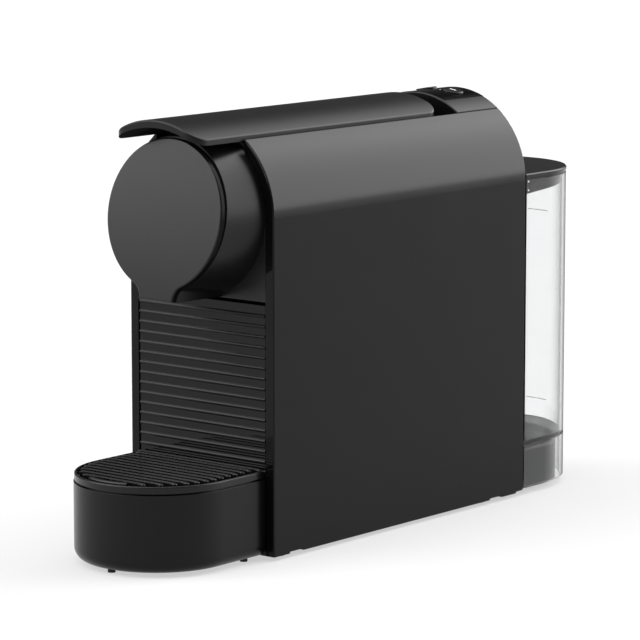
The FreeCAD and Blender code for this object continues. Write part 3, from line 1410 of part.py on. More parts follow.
main()
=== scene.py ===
import math

import bpy
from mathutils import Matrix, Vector


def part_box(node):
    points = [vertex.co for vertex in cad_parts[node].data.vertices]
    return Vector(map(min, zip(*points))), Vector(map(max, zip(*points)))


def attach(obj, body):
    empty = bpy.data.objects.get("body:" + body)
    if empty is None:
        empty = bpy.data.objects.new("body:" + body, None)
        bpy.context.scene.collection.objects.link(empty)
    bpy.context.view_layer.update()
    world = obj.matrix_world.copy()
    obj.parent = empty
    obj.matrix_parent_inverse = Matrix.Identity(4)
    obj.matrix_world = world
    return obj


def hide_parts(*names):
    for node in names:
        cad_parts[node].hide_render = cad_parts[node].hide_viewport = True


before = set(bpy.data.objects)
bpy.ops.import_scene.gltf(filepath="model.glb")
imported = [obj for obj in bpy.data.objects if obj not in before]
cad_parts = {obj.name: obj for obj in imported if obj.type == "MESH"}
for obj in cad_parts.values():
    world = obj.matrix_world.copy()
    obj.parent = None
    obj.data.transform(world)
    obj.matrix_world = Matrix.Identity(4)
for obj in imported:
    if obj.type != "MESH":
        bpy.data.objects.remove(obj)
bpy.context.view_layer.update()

MM = 0.001
SMOOTH_ANGLE = math.radians(40)
UNTURNED = (0.0, 0.0, 0.0)


class Value:
    """One output of a node. Arithmetic on values adds Math nodes to the same tree."""

    def __init__(self, owner, socket):
        self.owner = owner
        self.socket = socket

    def maths(self, operation, first, second):
        return self.owner.node("ShaderNodeMath", {"operation": operation}, {0: first, 1: second})

    def __add__(self, other):
        return self.maths("ADD", self, other)

    def __radd__(self, other):
        return self.maths("ADD", other, self)

    def __sub__(self, other):
        return self.maths("SUBTRACT", self, other)

    def __rsub__(self, other):
        return self.maths("SUBTRACT", other, self)

    def __mul__(self, other):
        return self.maths("MULTIPLY", self, other)

    def __rmul__(self, other):
        return self.maths("MULTIPLY", other, self)

    def __gt__(self, other):
        return self.maths("GREATER_THAN", self, other)

    def __lt__(self, other):
        return self.maths("LESS_THAN", self, other)


class NodeTree:
    """The nodes of a material or of the world."""

    def __init__(self, tree):
        self.tree = tree

    def node(self, kind, settings=None, sockets=None, out=0):
        """Adds a node with its settings first, then its sockets' values or links."""
        made = self.tree.nodes.new(kind)
        for name, value in (settings or {}).items():
            setattr(made, name, value)
        for key, value in (sockets or {}).items():
            if isinstance(value, Value):
                self.tree.links.new(value.socket, made.inputs[key])
            else:
                made.inputs[key].default_value = value
        return Value(self, made.outputs[out])

    def ease(self, value, low, high):
        """Rises smoothly from 0 to 1 as the value goes from low to high."""
        settings = {"interpolation_type": "SMOOTHSTEP"}
        sockets = {"Value": value, "From Min": low, "From Max": high}
        return self.node("ShaderNodeMapRange", settings, sockets)

    def along(self, axis, vector):
        """One coordinate of a vector."""
        return self.node("ShaderNodeSeparateXYZ", {}, {"Vector": vector}, axis)


class Finish(NodeTree):
    """A material: a Principled shader and the nodes that feed it."""

    def __init__(self, name, **uniform):
        self.material = bpy.data.materials.new(name)
        self.material.use_nodes = True
        NodeTree.__init__(self, self.material.node_tree)
        self.tree.nodes.clear()
        self.shader = self.tree.nodes.new("ShaderNodeBsdfPrincipled")
        end = self.tree.nodes.new("ShaderNodeOutputMaterial")
        self.surface = end.inputs["Surface"]
        self.tree.links.new(self.shader.outputs[0], self.surface)
        for socket, value in uniform.items():
            self.shader.inputs[socket.replace("_", " ")].default_value = value

    def feed(self, socket, value):
        """Links a value that varies over the surface to one of the shader's sockets."""
        self.tree.links.new(value.socket, self.shader.inputs[socket])

    def gloss(self, pattern, least, spread):
        """Feeds a roughness that starts at the least and grows by the spread where the pattern is 1."""
        self.feed("Roughness", least + pattern * spread)

    def cover(self, factor, level):
        """Lays a matt shader of one grey over the first, as far as the factor says."""
        first = Value(self, self.shader.outputs[0])
        matt = self.node("ShaderNodeBsdfDiffuse", {}, {"Color": grey(level)})
        mixed = self.node("ShaderNodeMixShader", {}, {0: factor, 1: first, 2: matt})
        self.tree.links.new(mixed.socket, self.surface)

    def place(self):
        """Object coordinates, in metres."""
        return self.node("ShaderNodeTexCoord", out="Object")

    def upward(self):
        """1 where the surface looks up, 0 where it is upright, -1 where it looks down."""
        return self.along("Z", self.node("ShaderNodeTexCoord", out="Normal"))

    def stretched(self, scale):
        """Object coordinates scaled apart along each axis."""
        return self.node("ShaderNodeMapping", {}, {"Vector": self.place(), "Scale": scale})

    def noise(self, where, size, detail):
        """Noise from 0 to 1 whose lumps are about the given size in metres."""
        sockets = {"Vector": where, "Scale": 1.0 / size, "Detail": detail}
        return self.node("ShaderNodeTexNoise", {}, sockets)

    def cells(self, where, size):
        """Distance to the nearest of scattered points about the given size apart."""
        return self.node("ShaderNodeTexVoronoi", {}, {"Vector": where, "Scale": 1.0 / size}, "Distance")

    def depth(self, where, way):
        """How far a place lies along a direction, in metres, or the cosine between two normals."""
        settings = {"operation": "DOT_PRODUCT"}
        return self.node("ShaderNodeVectorMath", settings, {0: where, 1: way}, "Value")

    def blend(self, factor, first, second):
        """A colour between two colours."""
        settings = {"data_type": "RGBA"}
        return self.node("ShaderNodeMix", settings, {0: factor, 6: first, 7: second}, 2)

    def rounded(self, radius):
        """The normal of a surface whose sharp edges are rounded off."""
        return self.node("ShaderNodeBevel", {"samples": 4}, {"Radius": radius})

    def edges(self, rounded):
        """1 along the edges that a rounded normal softens, 0 elsewhere."""
        untouched = 0.99
        worn = 0.86
        flat = self.node("ShaderNodeNewGeometry", out="Normal")
        return self.ease(self.depth(rounded, flat), untouched, worn)

    def bump(self, height, depth, strength, over=None):
        """A normal from a height, with the relief's depth in metres, laid over another normal."""
        sockets = {"Height": height, "Distance": depth, "Strength": strength}
        if over is not None:
            sockets["Normal"] = over
        return self.node("ShaderNodeBump", {}, sockets)


def grey(level):
    """An opaque grey."""
    return (level, level, level, 1.0)


CLOUD_TONE = 0.08
CLOUD_SHEEN = 0.04
TOUCH_SHEEN = 0.06
RUBBED_COVER = 0.5
RUBBED_TONE = 2.0
RUBBED_SHEEN = 0.04
LIP_SHEEN = 0.07
GRAIN_STRENGTH = 0.35
FACE_SKIN = 0.55 * MM
SIDE_SHADE_COVER = 0.8
SIDE_SHADE_TONE = 0.5
BELOW_SHADE_TONE = 3.0


def moulded(name, level, rough, specular, grain=0.35 * MM, depth=0.01 * MM, edge=0.35 * MM,
            lip=None, face=None, painted_shade_below=False, painted_top_grey=None):
    """Moulded plastic with an eroded grain, faint flow clouds, handling marks and rubbed edges.

    grain and depth are the grain's size and relief, edge is the radius of the edges, and lip the
    place along Y in front of which the tool was polished. face is the middle, normal, reach and
    rise of a slightly swollen face whose sides get a matt darker grey, painted shade.
    painted_shade_below lays a matt grey over the faces that look down, painted shade that hides their
    reflections, and tops is a paler grey painted on the faces that look up, painted light.
    """
    finish = Finish(name, Specular_IOR_Level=specular)
    where = finish.place()
    cloud = finish.noise(where, size=60 * MM, detail=3.0)
    touch = finish.noise(where, size=14 * MM, detail=4.0)
    soft = finish.rounded(edge)
    rubbed = finish.edges(soft)
    colour = finish.blend(cloud, grey(level * (1 - CLOUD_TONE)), grey(level * (1 + CLOUD_TONE)))
    colour = finish.blend(rubbed * RUBBED_COVER, colour, grey(level * RUBBED_TONE))
    # Painted light: faces that look up get a paler grey than the rest.
    if painted_top_grey is not None:
        colour = finish.blend(finish.ease(finish.upward(), 0.9, 0.98), colour, grey(painted_top_grey))
    finish.feed("Base Color", colour)
    sheen = rough + (touch - 0.5) * TOUCH_SHEEN + (cloud - 0.5) * CLOUD_SHEEN - rubbed * RUBBED_SHEEN
    if lip is not None:
        bright = finish.along("Y", where) < lip
        sheen = sheen * (1.0 - bright) + bright * LIP_SHEEN
    if face is not None:
        middle, normal, reach, rise = face
        across = (finish.along("X", where) - middle.x) * (1.0 / reach)
        up = (finish.along("Z", where) - middle.z) * (1.0 / reach)
        soft = finish.bump(1.0 - across * across - up * up, depth=rise, strength=1.0, over=soft)
        # Painted shade: the face's sides, behind its front skin, are covered by a matt darker grey.
        sides = finish.depth(where, normal) < middle.dot(normal) - FACE_SKIN
        finish.cover(sides * SIDE_SHADE_COVER, level * SIDE_SHADE_TONE)
    # Painted shade: faces that look down are covered by a matt grey that hides their reflections.
    if painted_shade_below:
        finish.cover(finish.ease(finish.upward(), -0.1, -0.3), level * BELOW_SHADE_TONE)
    finish.feed("Roughness", sheen)
    pits = finish.noise(where, size=grain, detail=3.0)
    finish.feed("Normal", finish.bump(pits, depth=depth, strength=GRAIN_STRENGTH, over=soft))
    return finish.material


DUST_ABOVE = 0.68
DUST_COVER = 0.25
DUST_TONE = 1.8
DUST_SHEEN = 0.06
SMEAR_SHEEN = 0.04
CROWN_SHEEN = 0.36


def polished(name, level, rough, specular, crown=None):
    """Polished plastic with a slight waviness and thin dust, satin in front of a crown along Y."""
    finish = Finish(name, Specular_IOR_Level=specular)
    where = finish.place()
    dust = finish.noise(where, size=0.8 * MM, detail=6.0)
    smear = finish.noise(where, size=22 * MM, detail=4.0)
    specks = dust > DUST_ABOVE
    finish.feed("Base Color", finish.blend(specks * DUST_COVER, grey(level), grey(level * DUST_TONE)))
    sheen = rough + smear * SMEAR_SHEEN + specks * DUST_SHEEN
    if crown is not None:
        sheen = sheen + (finish.along("Y", where) < crown) * CROWN_SHEEN
    finish.feed("Roughness", sheen)
    wave = finish.noise(where, size=9 * MM, detail=1.0)
    soft = finish.rounded(0.3 * MM)
    finish.feed("Normal", finish.bump(wave, depth=0.02 * MM, strength=0.15, over=soft))
    return finish.material


def clear_plastic(name):
    """Clear moulded plastic: hardly tinted, with flow lines, and painted shade where the wall is seen
    edge on.
    """
    finish = Finish(name, Transmission_Weight=1.0, IOR=1.3, Specular_IOR_Level=0.4)
    where = finish.place()
    haze = finish.noise(finish.stretched((1.0, 1.0, 0.25)), size=18 * MM, detail=3.0)
    cool = (0.89, 0.9, 0.905, 1.0)
    tint = finish.blend(haze, grey(0.905), cool)
    slant = finish.node("ShaderNodeLayerWeight", {}, {"Blend": 0.5}, "Facing")
    # Painted shade: the colour darkens where the wall is seen edge on.
    edge_on_shade = finish.ease(slant, 0.45, 0.95)
    edge_shade_tone = grey(0.08)
    finish.feed("Base Color", finish.blend(edge_on_shade, tint, edge_shade_tone))
    finish.gloss(haze, least=0.0, spread=0.012)
    # More painted shade: a matt dark grey covers the wall where it is seen at a low angle.
    grazing_shade = finish.ease(slant, 0.72, 0.9)
    finish.cover(grazing_shade * 0.75, level=0.1)
    wave = finish.noise(where, size=30 * MM, detail=1.0)
    finish.feed("Normal", finish.bump(wave, depth=0.02 * MM, strength=0.1))
    return finish.material


def soft_rubber(name, level):
    """Matt rubber with a pebbled skin and pale bloom."""
    finish = Finish(name, Specular_IOR_Level=0.2)
    where = finish.place()
    bloom = finish.noise(where, size=3 * MM, detail=5.0)
    finish.feed("Base Color", finish.blend(bloom, grey(level), grey(level * 1.7)))
    finish.gloss(bloom, least=0.72, spread=0.16)
    pebbles = finish.cells(where, size=0.5 * MM)
    finish.feed("Normal", finish.bump(pebbles, depth=0.05 * MM, strength=0.4))
    return finish.material


def turned_steel(name):
    """Bright steel with fine drawing lines along the width of the machine."""
    finish = Finish(name, Metallic=1.0)
    lines = finish.noise(finish.stretched((0.02, 1.0, 1.0)), size=0.25 * MM, detail=3.0)
    stain = finish.noise(finish.place(), size=12 * MM, detail=3.0)
    warm = (0.6, 0.59, 0.57, 1.0)
    finish.feed("Base Color", finish.blend(stain, grey(0.52), warm))
    finish.gloss(lines, least=0.22, spread=0.14)
    finish.feed("Normal", finish.bump(lines, depth=0.01 * MM, strength=0.2))
    return finish.material


def cast_metal(name):
    """Cast aluminium with a sandy skin and dull patches."""
    finish = Finish(name, Metallic=1.0)
    where = finish.place()
    sand = finish.noise(where, size=0.7 * MM, detail=4.0)
    patch = finish.noise(where, size=16 * MM, detail=3.0)
    dull = (0.42, 0.42, 0.43, 1.0)
    bright = (0.56, 0.56, 0.55, 1.0)
    finish.feed("Base Color", finish.blend(patch, dull, bright))
    finish.gloss(patch, least=0.42, spread=0.16)
    finish.feed("Normal", finish.bump(sand, depth=0.08 * MM, strength=0.5))
    return finish.material


def circuit_board(name):
    """Green solder mask over copper tracks, with tinned pads."""
    finish = Finish(name, Specular_IOR_Level=0.5)
    where = finish.place()
    tracks = finish.node("ShaderNodeTexBrick", {"offset": 0.35}, {
        "Vector": where, "Scale": 160.0, "Mortar Size": 0.05, "Color1": grey(0.0),
        "Color2": grey(0.0), "Mortar": grey(1.0)}, "Color")
    pads = finish.cells(where, size=5 * MM) < 0.14
    green = (0.004, 0.03, 0.012, 1.0)
    track_green = (0.01, 0.07, 0.028, 1.0)
    tin = (0.55, 0.53, 0.5, 1.0)
    mask = finish.blend(tracks, green, track_green)
    finish.feed("Base Color", finish.blend(pads, mask, tin))
    finish.feed("Metallic", pads * 0.9)
    finish.gloss(pads, least=0.34, spread=-0.08)
    finish.feed("Normal", finish.bump(pads, depth=0.05 * MM, strength=0.4))
    return finish.material


def milky_hose(name):
    """Translucent silicone hose with faint extrusion clouds."""
    finish = Finish(name, Subsurface_Weight=0.4, Subsurface_Scale=2 * MM)
    cloud = finish.noise(finish.place(), size=5 * MM, detail=4.0)
    thick = (0.72, 0.72, 0.7, 1.0)
    thin = (0.86, 0.86, 0.84, 1.0)
    finish.feed("Base Color", finish.blend(cloud, thick, thin))
    finish.gloss(cloud, least=0.32, spread=0.15)
    finish.feed("Normal", finish.bump(cloud, depth=0.05 * MM, strength=0.2))
    return finish.material


def pale_print(name, level, cover=1.0):
    """Printed mark with slightly uneven ink that covers what is under it by a share."""
    finish = Finish(name, Specular_IOR_Level=0.3, Alpha=cover)
    ink = finish.noise(finish.place(), size=0.4 * MM, detail=3.0)
    finish.feed("Base Color", finish.blend(ink, grey(level * 0.9), grey(level)))
    finish.gloss(ink, least=0.45, spread=0.15)
    return finish.material


def lamp_lens(name):
    """Small pale lens with a faint light behind it."""
    finish = Finish(name, Emission_Strength=0.05)
    glow = finish.noise(finish.place(), size=0.6 * MM, detail=2.0)
    finish.feed("Base Color", finish.blend(glow, grey(0.24), grey(0.32)))
    finish.feed("Emission Color", finish.blend(glow, grey(0.8), grey(1.0)))
    finish.gloss(glow, least=0.2, spread=0.1)
    return finish.material


def finished(material, *nodes):
    """Gives CAD nodes a finish."""
    for name in nodes:
        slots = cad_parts[name].data.materials
        slots.clear()
        slots.append(material)
    return material


LIP_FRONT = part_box("right_side_cover")[0][1] + 0.5 * MM
CROWN_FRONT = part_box("ribbed_panel")[0][1] + 0.5 * MM
FACE_MIDDLE = Vector((0.0, -146.7, 195.5)) * MM
FACE_TILT = math.radians(9.07)
FACE_NORMAL = Vector((0.0, -math.cos(FACE_TILT), math.sin(FACE_TILT)))
FACE_REACH = 43 * MM
FACE_RISE = 0.65 * MM
NOSE_FACE = (FACE_MIDDLE, FACE_NORMAL, FACE_REACH, FACE_RISE)

finished(
    moulded("satin_casing", level=0.002, rough=0.2, specular=0.14, lip=LIP_FRONT),
    "left_side_cover", "right_side_cover", "rear_panel")
finished(
    moulded("satin_cap", level=0.0025, rough=0.28, specular=0.17),
    "rear_cap")
# The nose face's sides get painted shade.
finished(
    moulded("satin_nose", level=0.006, rough=0.26, specular=0.2, face=NOSE_FACE),
    "nose_face")
finished(
    moulded("satin_drum", level=0.004, rough=0.34, specular=0.2),
    "nose_housing")
finished(
    moulded("satin_fascia", level=0.006, rough=0.3, specular=0.25),
    "front_fascia")
# The lever's downward faces get painted shade.
finished(
    moulded("satin_lever", level=0.005, rough=0.3, specular=0.16, painted_shade_below=True),
    "lever")
finished(
    moulded("satin_tray", level=0.0035, rough=0.24, specular=0.16),
    "drip_tray")
# The grille's upward faces get a paler grey, painted light.
GRILLE_FINISH = finished(
    moulded("satin_grille", level=0.003, rough=0.24, specular=0.25, edge=0.08 * MM, painted_top_grey=0.021),
    "drip_grille")
finished(
    moulded("dull_inner", level=0.012, rough=0.5, specular=0.25, grain=0.5 * MM, depth=0.03 * MM),
    "base_plate", "cord_gland", "shelf", "top_deck", "brew_frame", "capsule_bin", "coffee_spout",
    "toggle_links")
finished(
    polished("gloss_panel", level=0.0005, rough=0.05, specular=0.03),
    "control_panel")
finished(
    polished("gloss_ribs", level=0.002, rough=0.02, specular=0.2, crown=CROWN_FRONT),
    "ribbed_panel")
finished(
    moulded("satin_keys", level=0.006, rough=0.26, specular=0.15),
    "short_cup_button", "long_cup_button")
finished(
    moulded("satin_lid", level=0.005, rough=0.24, specular=0.18),
    "tank_lid")
finished(
    clear_plastic("clear_tank"),
    "tank_body")
finished(
    moulded("grey_dock", level=0.006, rough=0.34, specular=0.2, grain=0.4 * MM, depth=0.02 * MM),
    "tank_dock", "inlet_port", "strainer", "tank_valve", "flow_meter")
finished(
    soft_rubber("black_rubber", level=0.012),
    "base_feet", "tray_feet", "pump_rings", "port_seal", "extraction_seal")
finished(
    turned_steel("bright_steel"),
    "base_screws", "hinge_pins", "knee_pins", "cage_pin", "piercing_needles", "extraction_plate",
    "feed_tube")
finished(
    cast_metal("sandy_aluminium"),
    "heater", "capsule_cage")
finished(
    moulded("pump_grey", level=0.2, rough=0.4, specular=0.4, grain=0.5 * MM, depth=0.03 * MM),
    "pump")
finished(
    circuit_board("green_board"),
    "control_board", "button_board")
finished(
    milky_hose("milky_hose"),
    "suction_hose", "pump_hose", "feed_hose")


def deselect():
    """Leaves edit mode with nothing selected."""
    if bpy.context.object and bpy.context.object.mode != "OBJECT":
        bpy.ops.object.mode_set(mode="OBJECT")
    bpy.ops.object.select_all(action="DESELECT")


def rounded_bar(name, size, middle, turn, edge):
    """A low bar with bevelled edges, of the given size, turned about its middle."""
    deselect()
    bpy.ops.mesh.primitive_cube_add(size=1.0, location=middle, rotation=turn)
    bar = bpy.context.object
    bar.name = name
    bar.scale = size
    bpy.ops.object.transform_apply(location=True, rotation=True, scale=True)
    bpy.ops.object.mode_set(mode="EDIT")
    bpy.ops.mesh.select_all(action="SELECT")
    bpy.ops.mesh.bevel(offset=edge, segments=3, affect="EDGES")
    bpy.ops.object.mode_set(mode="OBJECT")
    bpy.ops.object.shade_smooth_by_angle(angle=SMOOTH_ANGLE)
    return bar


def dressed(piece, body, finish):
    """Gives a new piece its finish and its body."""
    piece.data.materials.clear()
    piece.data.materials.append(finish)
    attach(piece, body)


LINE_HEIGHT = 0.6 * MM
LINE_FILM = 0.1 * MM
LINE_CORNER = 0.02 * MM
LINE_START = -2.0
LINE_END = 18.5
LEVELS = (("upper_level_line", 165.6 * MM), ("lower_level_line", 44.7 * MM))


def level_line(name, z):
    """A printed line round the back of the tank at a height, cut at two angles from its middle."""
    deselect()
    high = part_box("tank_body")[1]
    radius = high[0]
    axis = Vector((0.0, high[1] - radius, z))
    bpy.ops.mesh.primitive_cylinder_add(
        vertices=360, radius=radius, depth=LINE_HEIGHT, end_fill_type="NOTHING", location=axis)
    strip = bpy.context.object
    strip.name = name
    bpy.ops.object.transform_apply(location=True, rotation=True, scale=True)
    bpy.ops.object.mode_set(mode="EDIT")
    for degrees, behind in ((LINE_START, True), (LINE_END, False)):
        turn = math.radians(degrees)
        along = (math.cos(turn), -math.sin(turn), 0.0)
        bpy.ops.mesh.select_all(action="SELECT")
        bpy.ops.mesh.bisect(plane_co=axis, plane_no=along, clear_inner=behind, clear_outer=not behind)
    bpy.ops.object.mode_set(mode="OBJECT")
    film = strip.modifiers.new("film", "SOLIDIFY")
    film.thickness = LINE_FILM
    film.offset = 0.0
    corner = strip.modifiers.new("corner", "BEVEL")
    corner.width = LINE_CORNER
    corner.segments = 2
    bpy.ops.object.modifier_apply(modifier="film")
    bpy.ops.object.modifier_apply(modifier="corner")
    bpy.ops.object.shade_smooth_by_angle(angle=SMOOTH_ANGLE)
    return strip


def level_lines():
    """The upper and lower filling lines of the tank."""
    ink = pale_print("grey_print", level=0.7, cover=0.5)
    for name, z in LEVELS:
        dressed(level_line(name, z), "tank", ink)


ARCH_Z = 194.4
ARCH_R = 54.0


def on_arch(degrees, radius, y):
    """A place in metres at an angle from the arch's top to the right, from a radius and y in mm."""
    turn = math.radians(degrees)
    return (radius * math.sin(turn) * MM, y * MM, (ARCH_Z + radius * math.cos(turn)) * MM)


KEY_TOP = ARCH_R + 0.9
KEY_TURN = 10.7
KEY_Y = 105.0
MARK_WIDTH = 1.2 * MM
MARK_HEIGHT = 0.2 * MM
MARK_EDGE = 0.05 * MM
KEY_MARKS = (
    ("short_cup_mark", "short_cup_key", -KEY_TURN, 2.2 * MM),
    ("long_cup_mark", "long_cup_key", KEY_TURN, 4.4 * MM))


def key_marks():
    """A short printed bar on the short cup button, a long one on the long cup button."""
    ink = pale_print("white_print", level=0.6)
    for name, body, degrees, length in KEY_MARKS:
        turn = (0.0, math.radians(degrees), 0.0)
        size = (length, MARK_WIDTH, MARK_HEIGHT)
        bar = rounded_bar(name, size, on_arch(degrees, KEY_TOP, KEY_Y), turn, MARK_EDGE)
        dressed(bar, body, ink)


LAMP_TURN = 4.25
LAMP_RADIUS = ARCH_R - 0.25
LAMP_Y = 100.5
LAMP_SIZE = (0.55 * MM, 0.55 * MM, 0.5 * MM)


def lamp():
    """The domed lens of the ready lamp, let into the control panel between the buttons."""
    deselect()
    turn = (0.0, math.radians(LAMP_TURN), 0.0)
    place = on_arch(LAMP_TURN, LAMP_RADIUS, LAMP_Y)
    bpy.ops.mesh.primitive_uv_sphere_add(
        segments=24, ring_count=12, radius=1.0, location=place, rotation=turn)
    lens = bpy.context.object
    lens.name = "ready_lamp"
    lens.scale = LAMP_SIZE
    bpy.ops.object.transform_apply(location=True, rotation=True, scale=True)
    bpy.ops.object.mode_set(mode="EDIT")
    bpy.ops.mesh.select_all(action="SELECT")
    up = Vector((math.sin(turn[1]), 0.0, math.cos(turn[1])))
    bpy.ops.mesh.bisect(plane_co=place, plane_no=up, use_fill=True, clear_inner=True)
    bpy.ops.object.mode_set(mode="OBJECT")
    bpy.ops.object.shade_smooth_by_angle(angle=SMOOTH_ANGLE)
    dressed(lens, "housing", lamp_lens("white_lens"))


def pick(piece, kind, test):
    """Selects the piece's edges or vertices whose middle passes a test, in edit mode."""
    bpy.ops.object.mode_set(mode="EDIT")
    bpy.ops.mesh.select_mode(type=kind)
    bpy.ops.mesh.select_all(action="DESELECT")
    bpy.ops.object.mode_set(mode="OBJECT")
    points = piece.data.vertices
    if kind == "EDGE":
        for edge in piece.data.edges:
            first, second = edge.vertices
            edge.select = test((points[first].co + points[second].co) / 2)
    else:
        for point in points:
            point.select = test(point.co)
    bpy.ops.object.mode_set(mode="EDIT")


GRILLE_LOW, GRILLE_HIGH = (Vector(corner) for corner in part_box("drip_grille"))
GRILLE_HALF = GRILLE_HIGH.x
GRILLE_BACK = GRILLE_HIGH.y
ROUND_Y = GRILLE_LOW.y + GRILLE_HALF
NEAR = 0.01 * MM
DOUBLES = NEAR / 10

RIM_TOP = GRILLE_HIGH.z
RIM_LOW = RIM_TOP - 3.9 * MM
RIM_WALL = 1.2 * MM
RIM_EDGE = 0.6 * MM
RIM_INNER = GRILLE_HALF - RIM_WALL

LIP_HALF = GRILLE_HALF - 2.1 * MM
LIP_BACK = GRILLE_BACK - 2.0 * MM
LIP_WALL = 1.5 * MM
LIP_TOP = RIM_LOW + 0.3 * MM

LEDGE_HALF = RIM_INNER + 0.2 * MM
LEDGE_BACK = GRILLE_BACK - 1.0 * MM
LEDGE_WALL = 2.5 * MM
LEDGE_LOW = RIM_LOW + 0.05 * MM
LEDGE_TOP = RIM_LOW + 0.8 * MM

BAR_COUNT = 12
BAR_FIRST = GRILLE_BACK - 6.5 * MM
BAR_PITCH = 6.0 * MM
BAR_WIDTH = 2.9 * MM
BAR_LOW = RIM_LOW + 0.05 * MM
BAR_TOP = RIM_TOP + 0.95 * MM
BAR_ROUND = 0.45 * BAR_WIDTH
BAR_TIP = 0.8 * MM
BAR_EDGE = 0.12 * MM
BAR_END_GAP = 2.6 * MM
BACK_BAR_Y = GRILLE_BACK - BAR_WIDTH / 2 - 0.1 * MM
BACK_BAR_HALF = GRILLE_HALF - 0.9 * MM

CRESCENT_RADIUS = 43.2 * MM
CRESCENT_WIDTH = 2.8 * MM
CRESCENT_EDGE = 0.7 * MM
CRESCENT_REACH = math.radians(18.5)

TAB_WIDTH = 2.0 * MM
TAB_HEIGHT = 2.0 * MM
TAB_Z = RIM_LOW + TAB_HEIGHT / 2 + 0.1 * MM
TAB_INTO_RIM = 0.6 * MM
TAB_EDGE = 0.2 * MM

RIB_X = 10.0 * MM
RIB_FRONT = ROUND_Y - 43.4 * MM
RIB_WIDTH = 2.0 * MM
RIB_HEIGHT = 1.9 * MM


def dee_ring(name, half, back, wall, low, top):
    """A ring with a round front and straight sides, between two heights."""
    deselect()
    centre = (0.0, ROUND_Y, low)
    bpy.ops.mesh.primitive_circle_add(vertices=160, radius=half, fill_type="NGON", location=centre)
    ring = bpy.context.object
    ring.name = name
    bpy.ops.object.transform_apply(location=True, rotation=True, scale=True)
    bpy.ops.object.mode_set(mode="EDIT")
    bpy.ops.mesh.select_all(action="SELECT")
    bpy.ops.mesh.bisect(plane_co=centre, plane_no=(0.0, 1.0, 0.0), clear_outer=True)
    pick(ring, "EDGE", lambda place: abs(place.y - ROUND_Y) < NEAR)
    bpy.ops.mesh.extrude_edges_move(TRANSFORM_OT_translate={"value": (0.0, back - ROUND_Y, 0.0)})
    bpy.ops.mesh.select_mode(type="FACE")
    bpy.ops.mesh.select_all(action="SELECT")
    bpy.ops.mesh.dissolve_faces()
    bpy.ops.mesh.select_all(action="SELECT")
    bpy.ops.mesh.inset(thickness=wall)
    bpy.ops.mesh.delete(type="ONLY_FACE")
    bpy.ops.mesh.select_all(action="SELECT")
    bpy.ops.mesh.extrude_region_move(TRANSFORM_OT_translate={"value": (0.0, 0.0, top - low)})
    bpy.ops.mesh.select_all(action="SELECT")
    bpy.ops.mesh.normals_make_consistent(inside=False)
    bpy.ops.object.mode_set(mode="OBJECT")
    return ring


def outside(place, half, back):
    """Whether a place is on the outer side of a ring of that half-width and back."""
    if place.y < ROUND_Y:
        return math.hypot(place.x, place.y - ROUND_Y) > half
    return abs(place.x) > half or place.y > back


def grille_rim():
    """The grille's rim with a rounded outer edge on top."""
    rim = dee_ring("barred_grille", GRILLE_HALF, GRILLE_BACK, RIM_WALL, RIM_LOW, RIM_TOP)
    half = GRILLE_HALF - RIM_WALL / 4
    back = GRILLE_BACK - RIM_WALL / 4
    pick(rim, "EDGE", lambda place: place.z > RIM_TOP - NEAR and outside(place, half, back))
    bpy.ops.mesh.bevel(offset=RIM_EDGE, segments=3, affect="EDGES")
    bpy.ops.object.mode_set(mode="OBJECT")
    return rim


def grille_bar(y, half):
    """A flat bar with round ends and soft edges across the grille, proud of its rim."""
    deselect()
    middle = (BAR_LOW + BAR_TOP) / 2
    bpy.ops.mesh.primitive_cube_add(size=1.0, location=(0.0, y, middle))
    bar = bpy.context.object
    bar.scale = (2 * half, BAR_WIDTH, BAR_TOP - BAR_LOW)
    bpy.ops.object.transform_apply(location=True, rotation=True, scale=True)
    pick(bar, "EDGE", lambda place: abs(place.z - middle) < NEAR)
    bpy.ops.mesh.bevel(offset=BAR_ROUND, segments=6, affect="EDGES")
    straight = half - BAR_ROUND
    pick(bar, "EDGE", lambda place: place.z > BAR_TOP - NEAR and abs(place.x) > straight)
    bpy.ops.mesh.bevel(offset=BAR_TIP, segments=5, affect="EDGES")
    pick(bar, "EDGE", lambda place: place.z > BAR_TOP - NEAR and abs(place.x) < straight)
    bpy.ops.mesh.bevel(offset=BAR_EDGE, segments=3, affect="EDGES")
    bpy.ops.mesh.select_all(action="SELECT")
    bpy.ops.mesh.remove_doubles(threshold=DOUBLES)
    bpy.ops.object.mode_set(mode="OBJECT")
    return bar


def front_bar():
    """The curved bar in the round front of the grille."""
    deselect()
    place = (CRESCENT_RADIUS, 0.0, (RIM_LOW + BAR_TOP) / 2)
    bpy.ops.mesh.primitive_plane_add(size=1.0, location=place, rotation=(math.radians(90), 0.0, 0.0))
    bar = bpy.context.object
    bar.scale = (CRESCENT_WIDTH, BAR_TOP - RIM_LOW, 1.0)
    bpy.ops.object.transform_apply(location=True, rotation=True, scale=True)
    pick(bar, "VERT", lambda place: place.z > BAR_TOP - NEAR)
    bpy.ops.mesh.bevel(offset=CRESCENT_EDGE, segments=6, affect="VERTICES")
    bpy.ops.mesh.select_all(action="SELECT")
    turn = 2 * CRESCENT_REACH
    bpy.ops.mesh.spin(steps=32, angle=turn, center=(0.0, 0.0, 0.0), axis=(0.0, 0.0, 1.0))
    bpy.ops.mesh.select_all(action="SELECT")
    bpy.ops.mesh.remove_doubles(threshold=DOUBLES)
    bpy.ops.mesh.fill_holes(sides=0)
    bpy.ops.mesh.select_all(action="SELECT")
    bpy.ops.mesh.normals_make_consistent(inside=False)
    bpy.ops.object.mode_set(mode="OBJECT")
    middle = sum((corner.co for corner in bar.data.vertices), Vector())
    bar.location = (0.0, ROUND_Y, 0.0)
    bar.rotation_euler = (0.0, 0.0, math.radians(-90) - math.atan2(middle.y, middle.x))
    bpy.ops.object.transform_apply(location=True, rotation=True, scale=True)
    return bar


def unite(piece, others):
    """Makes the other pieces part of the piece."""
    deselect()
    for other in others:
        other.select_set(True)
    piece.select_set(True)
    bpy.context.view_layer.objects.active = piece
    bpy.ops.object.join()


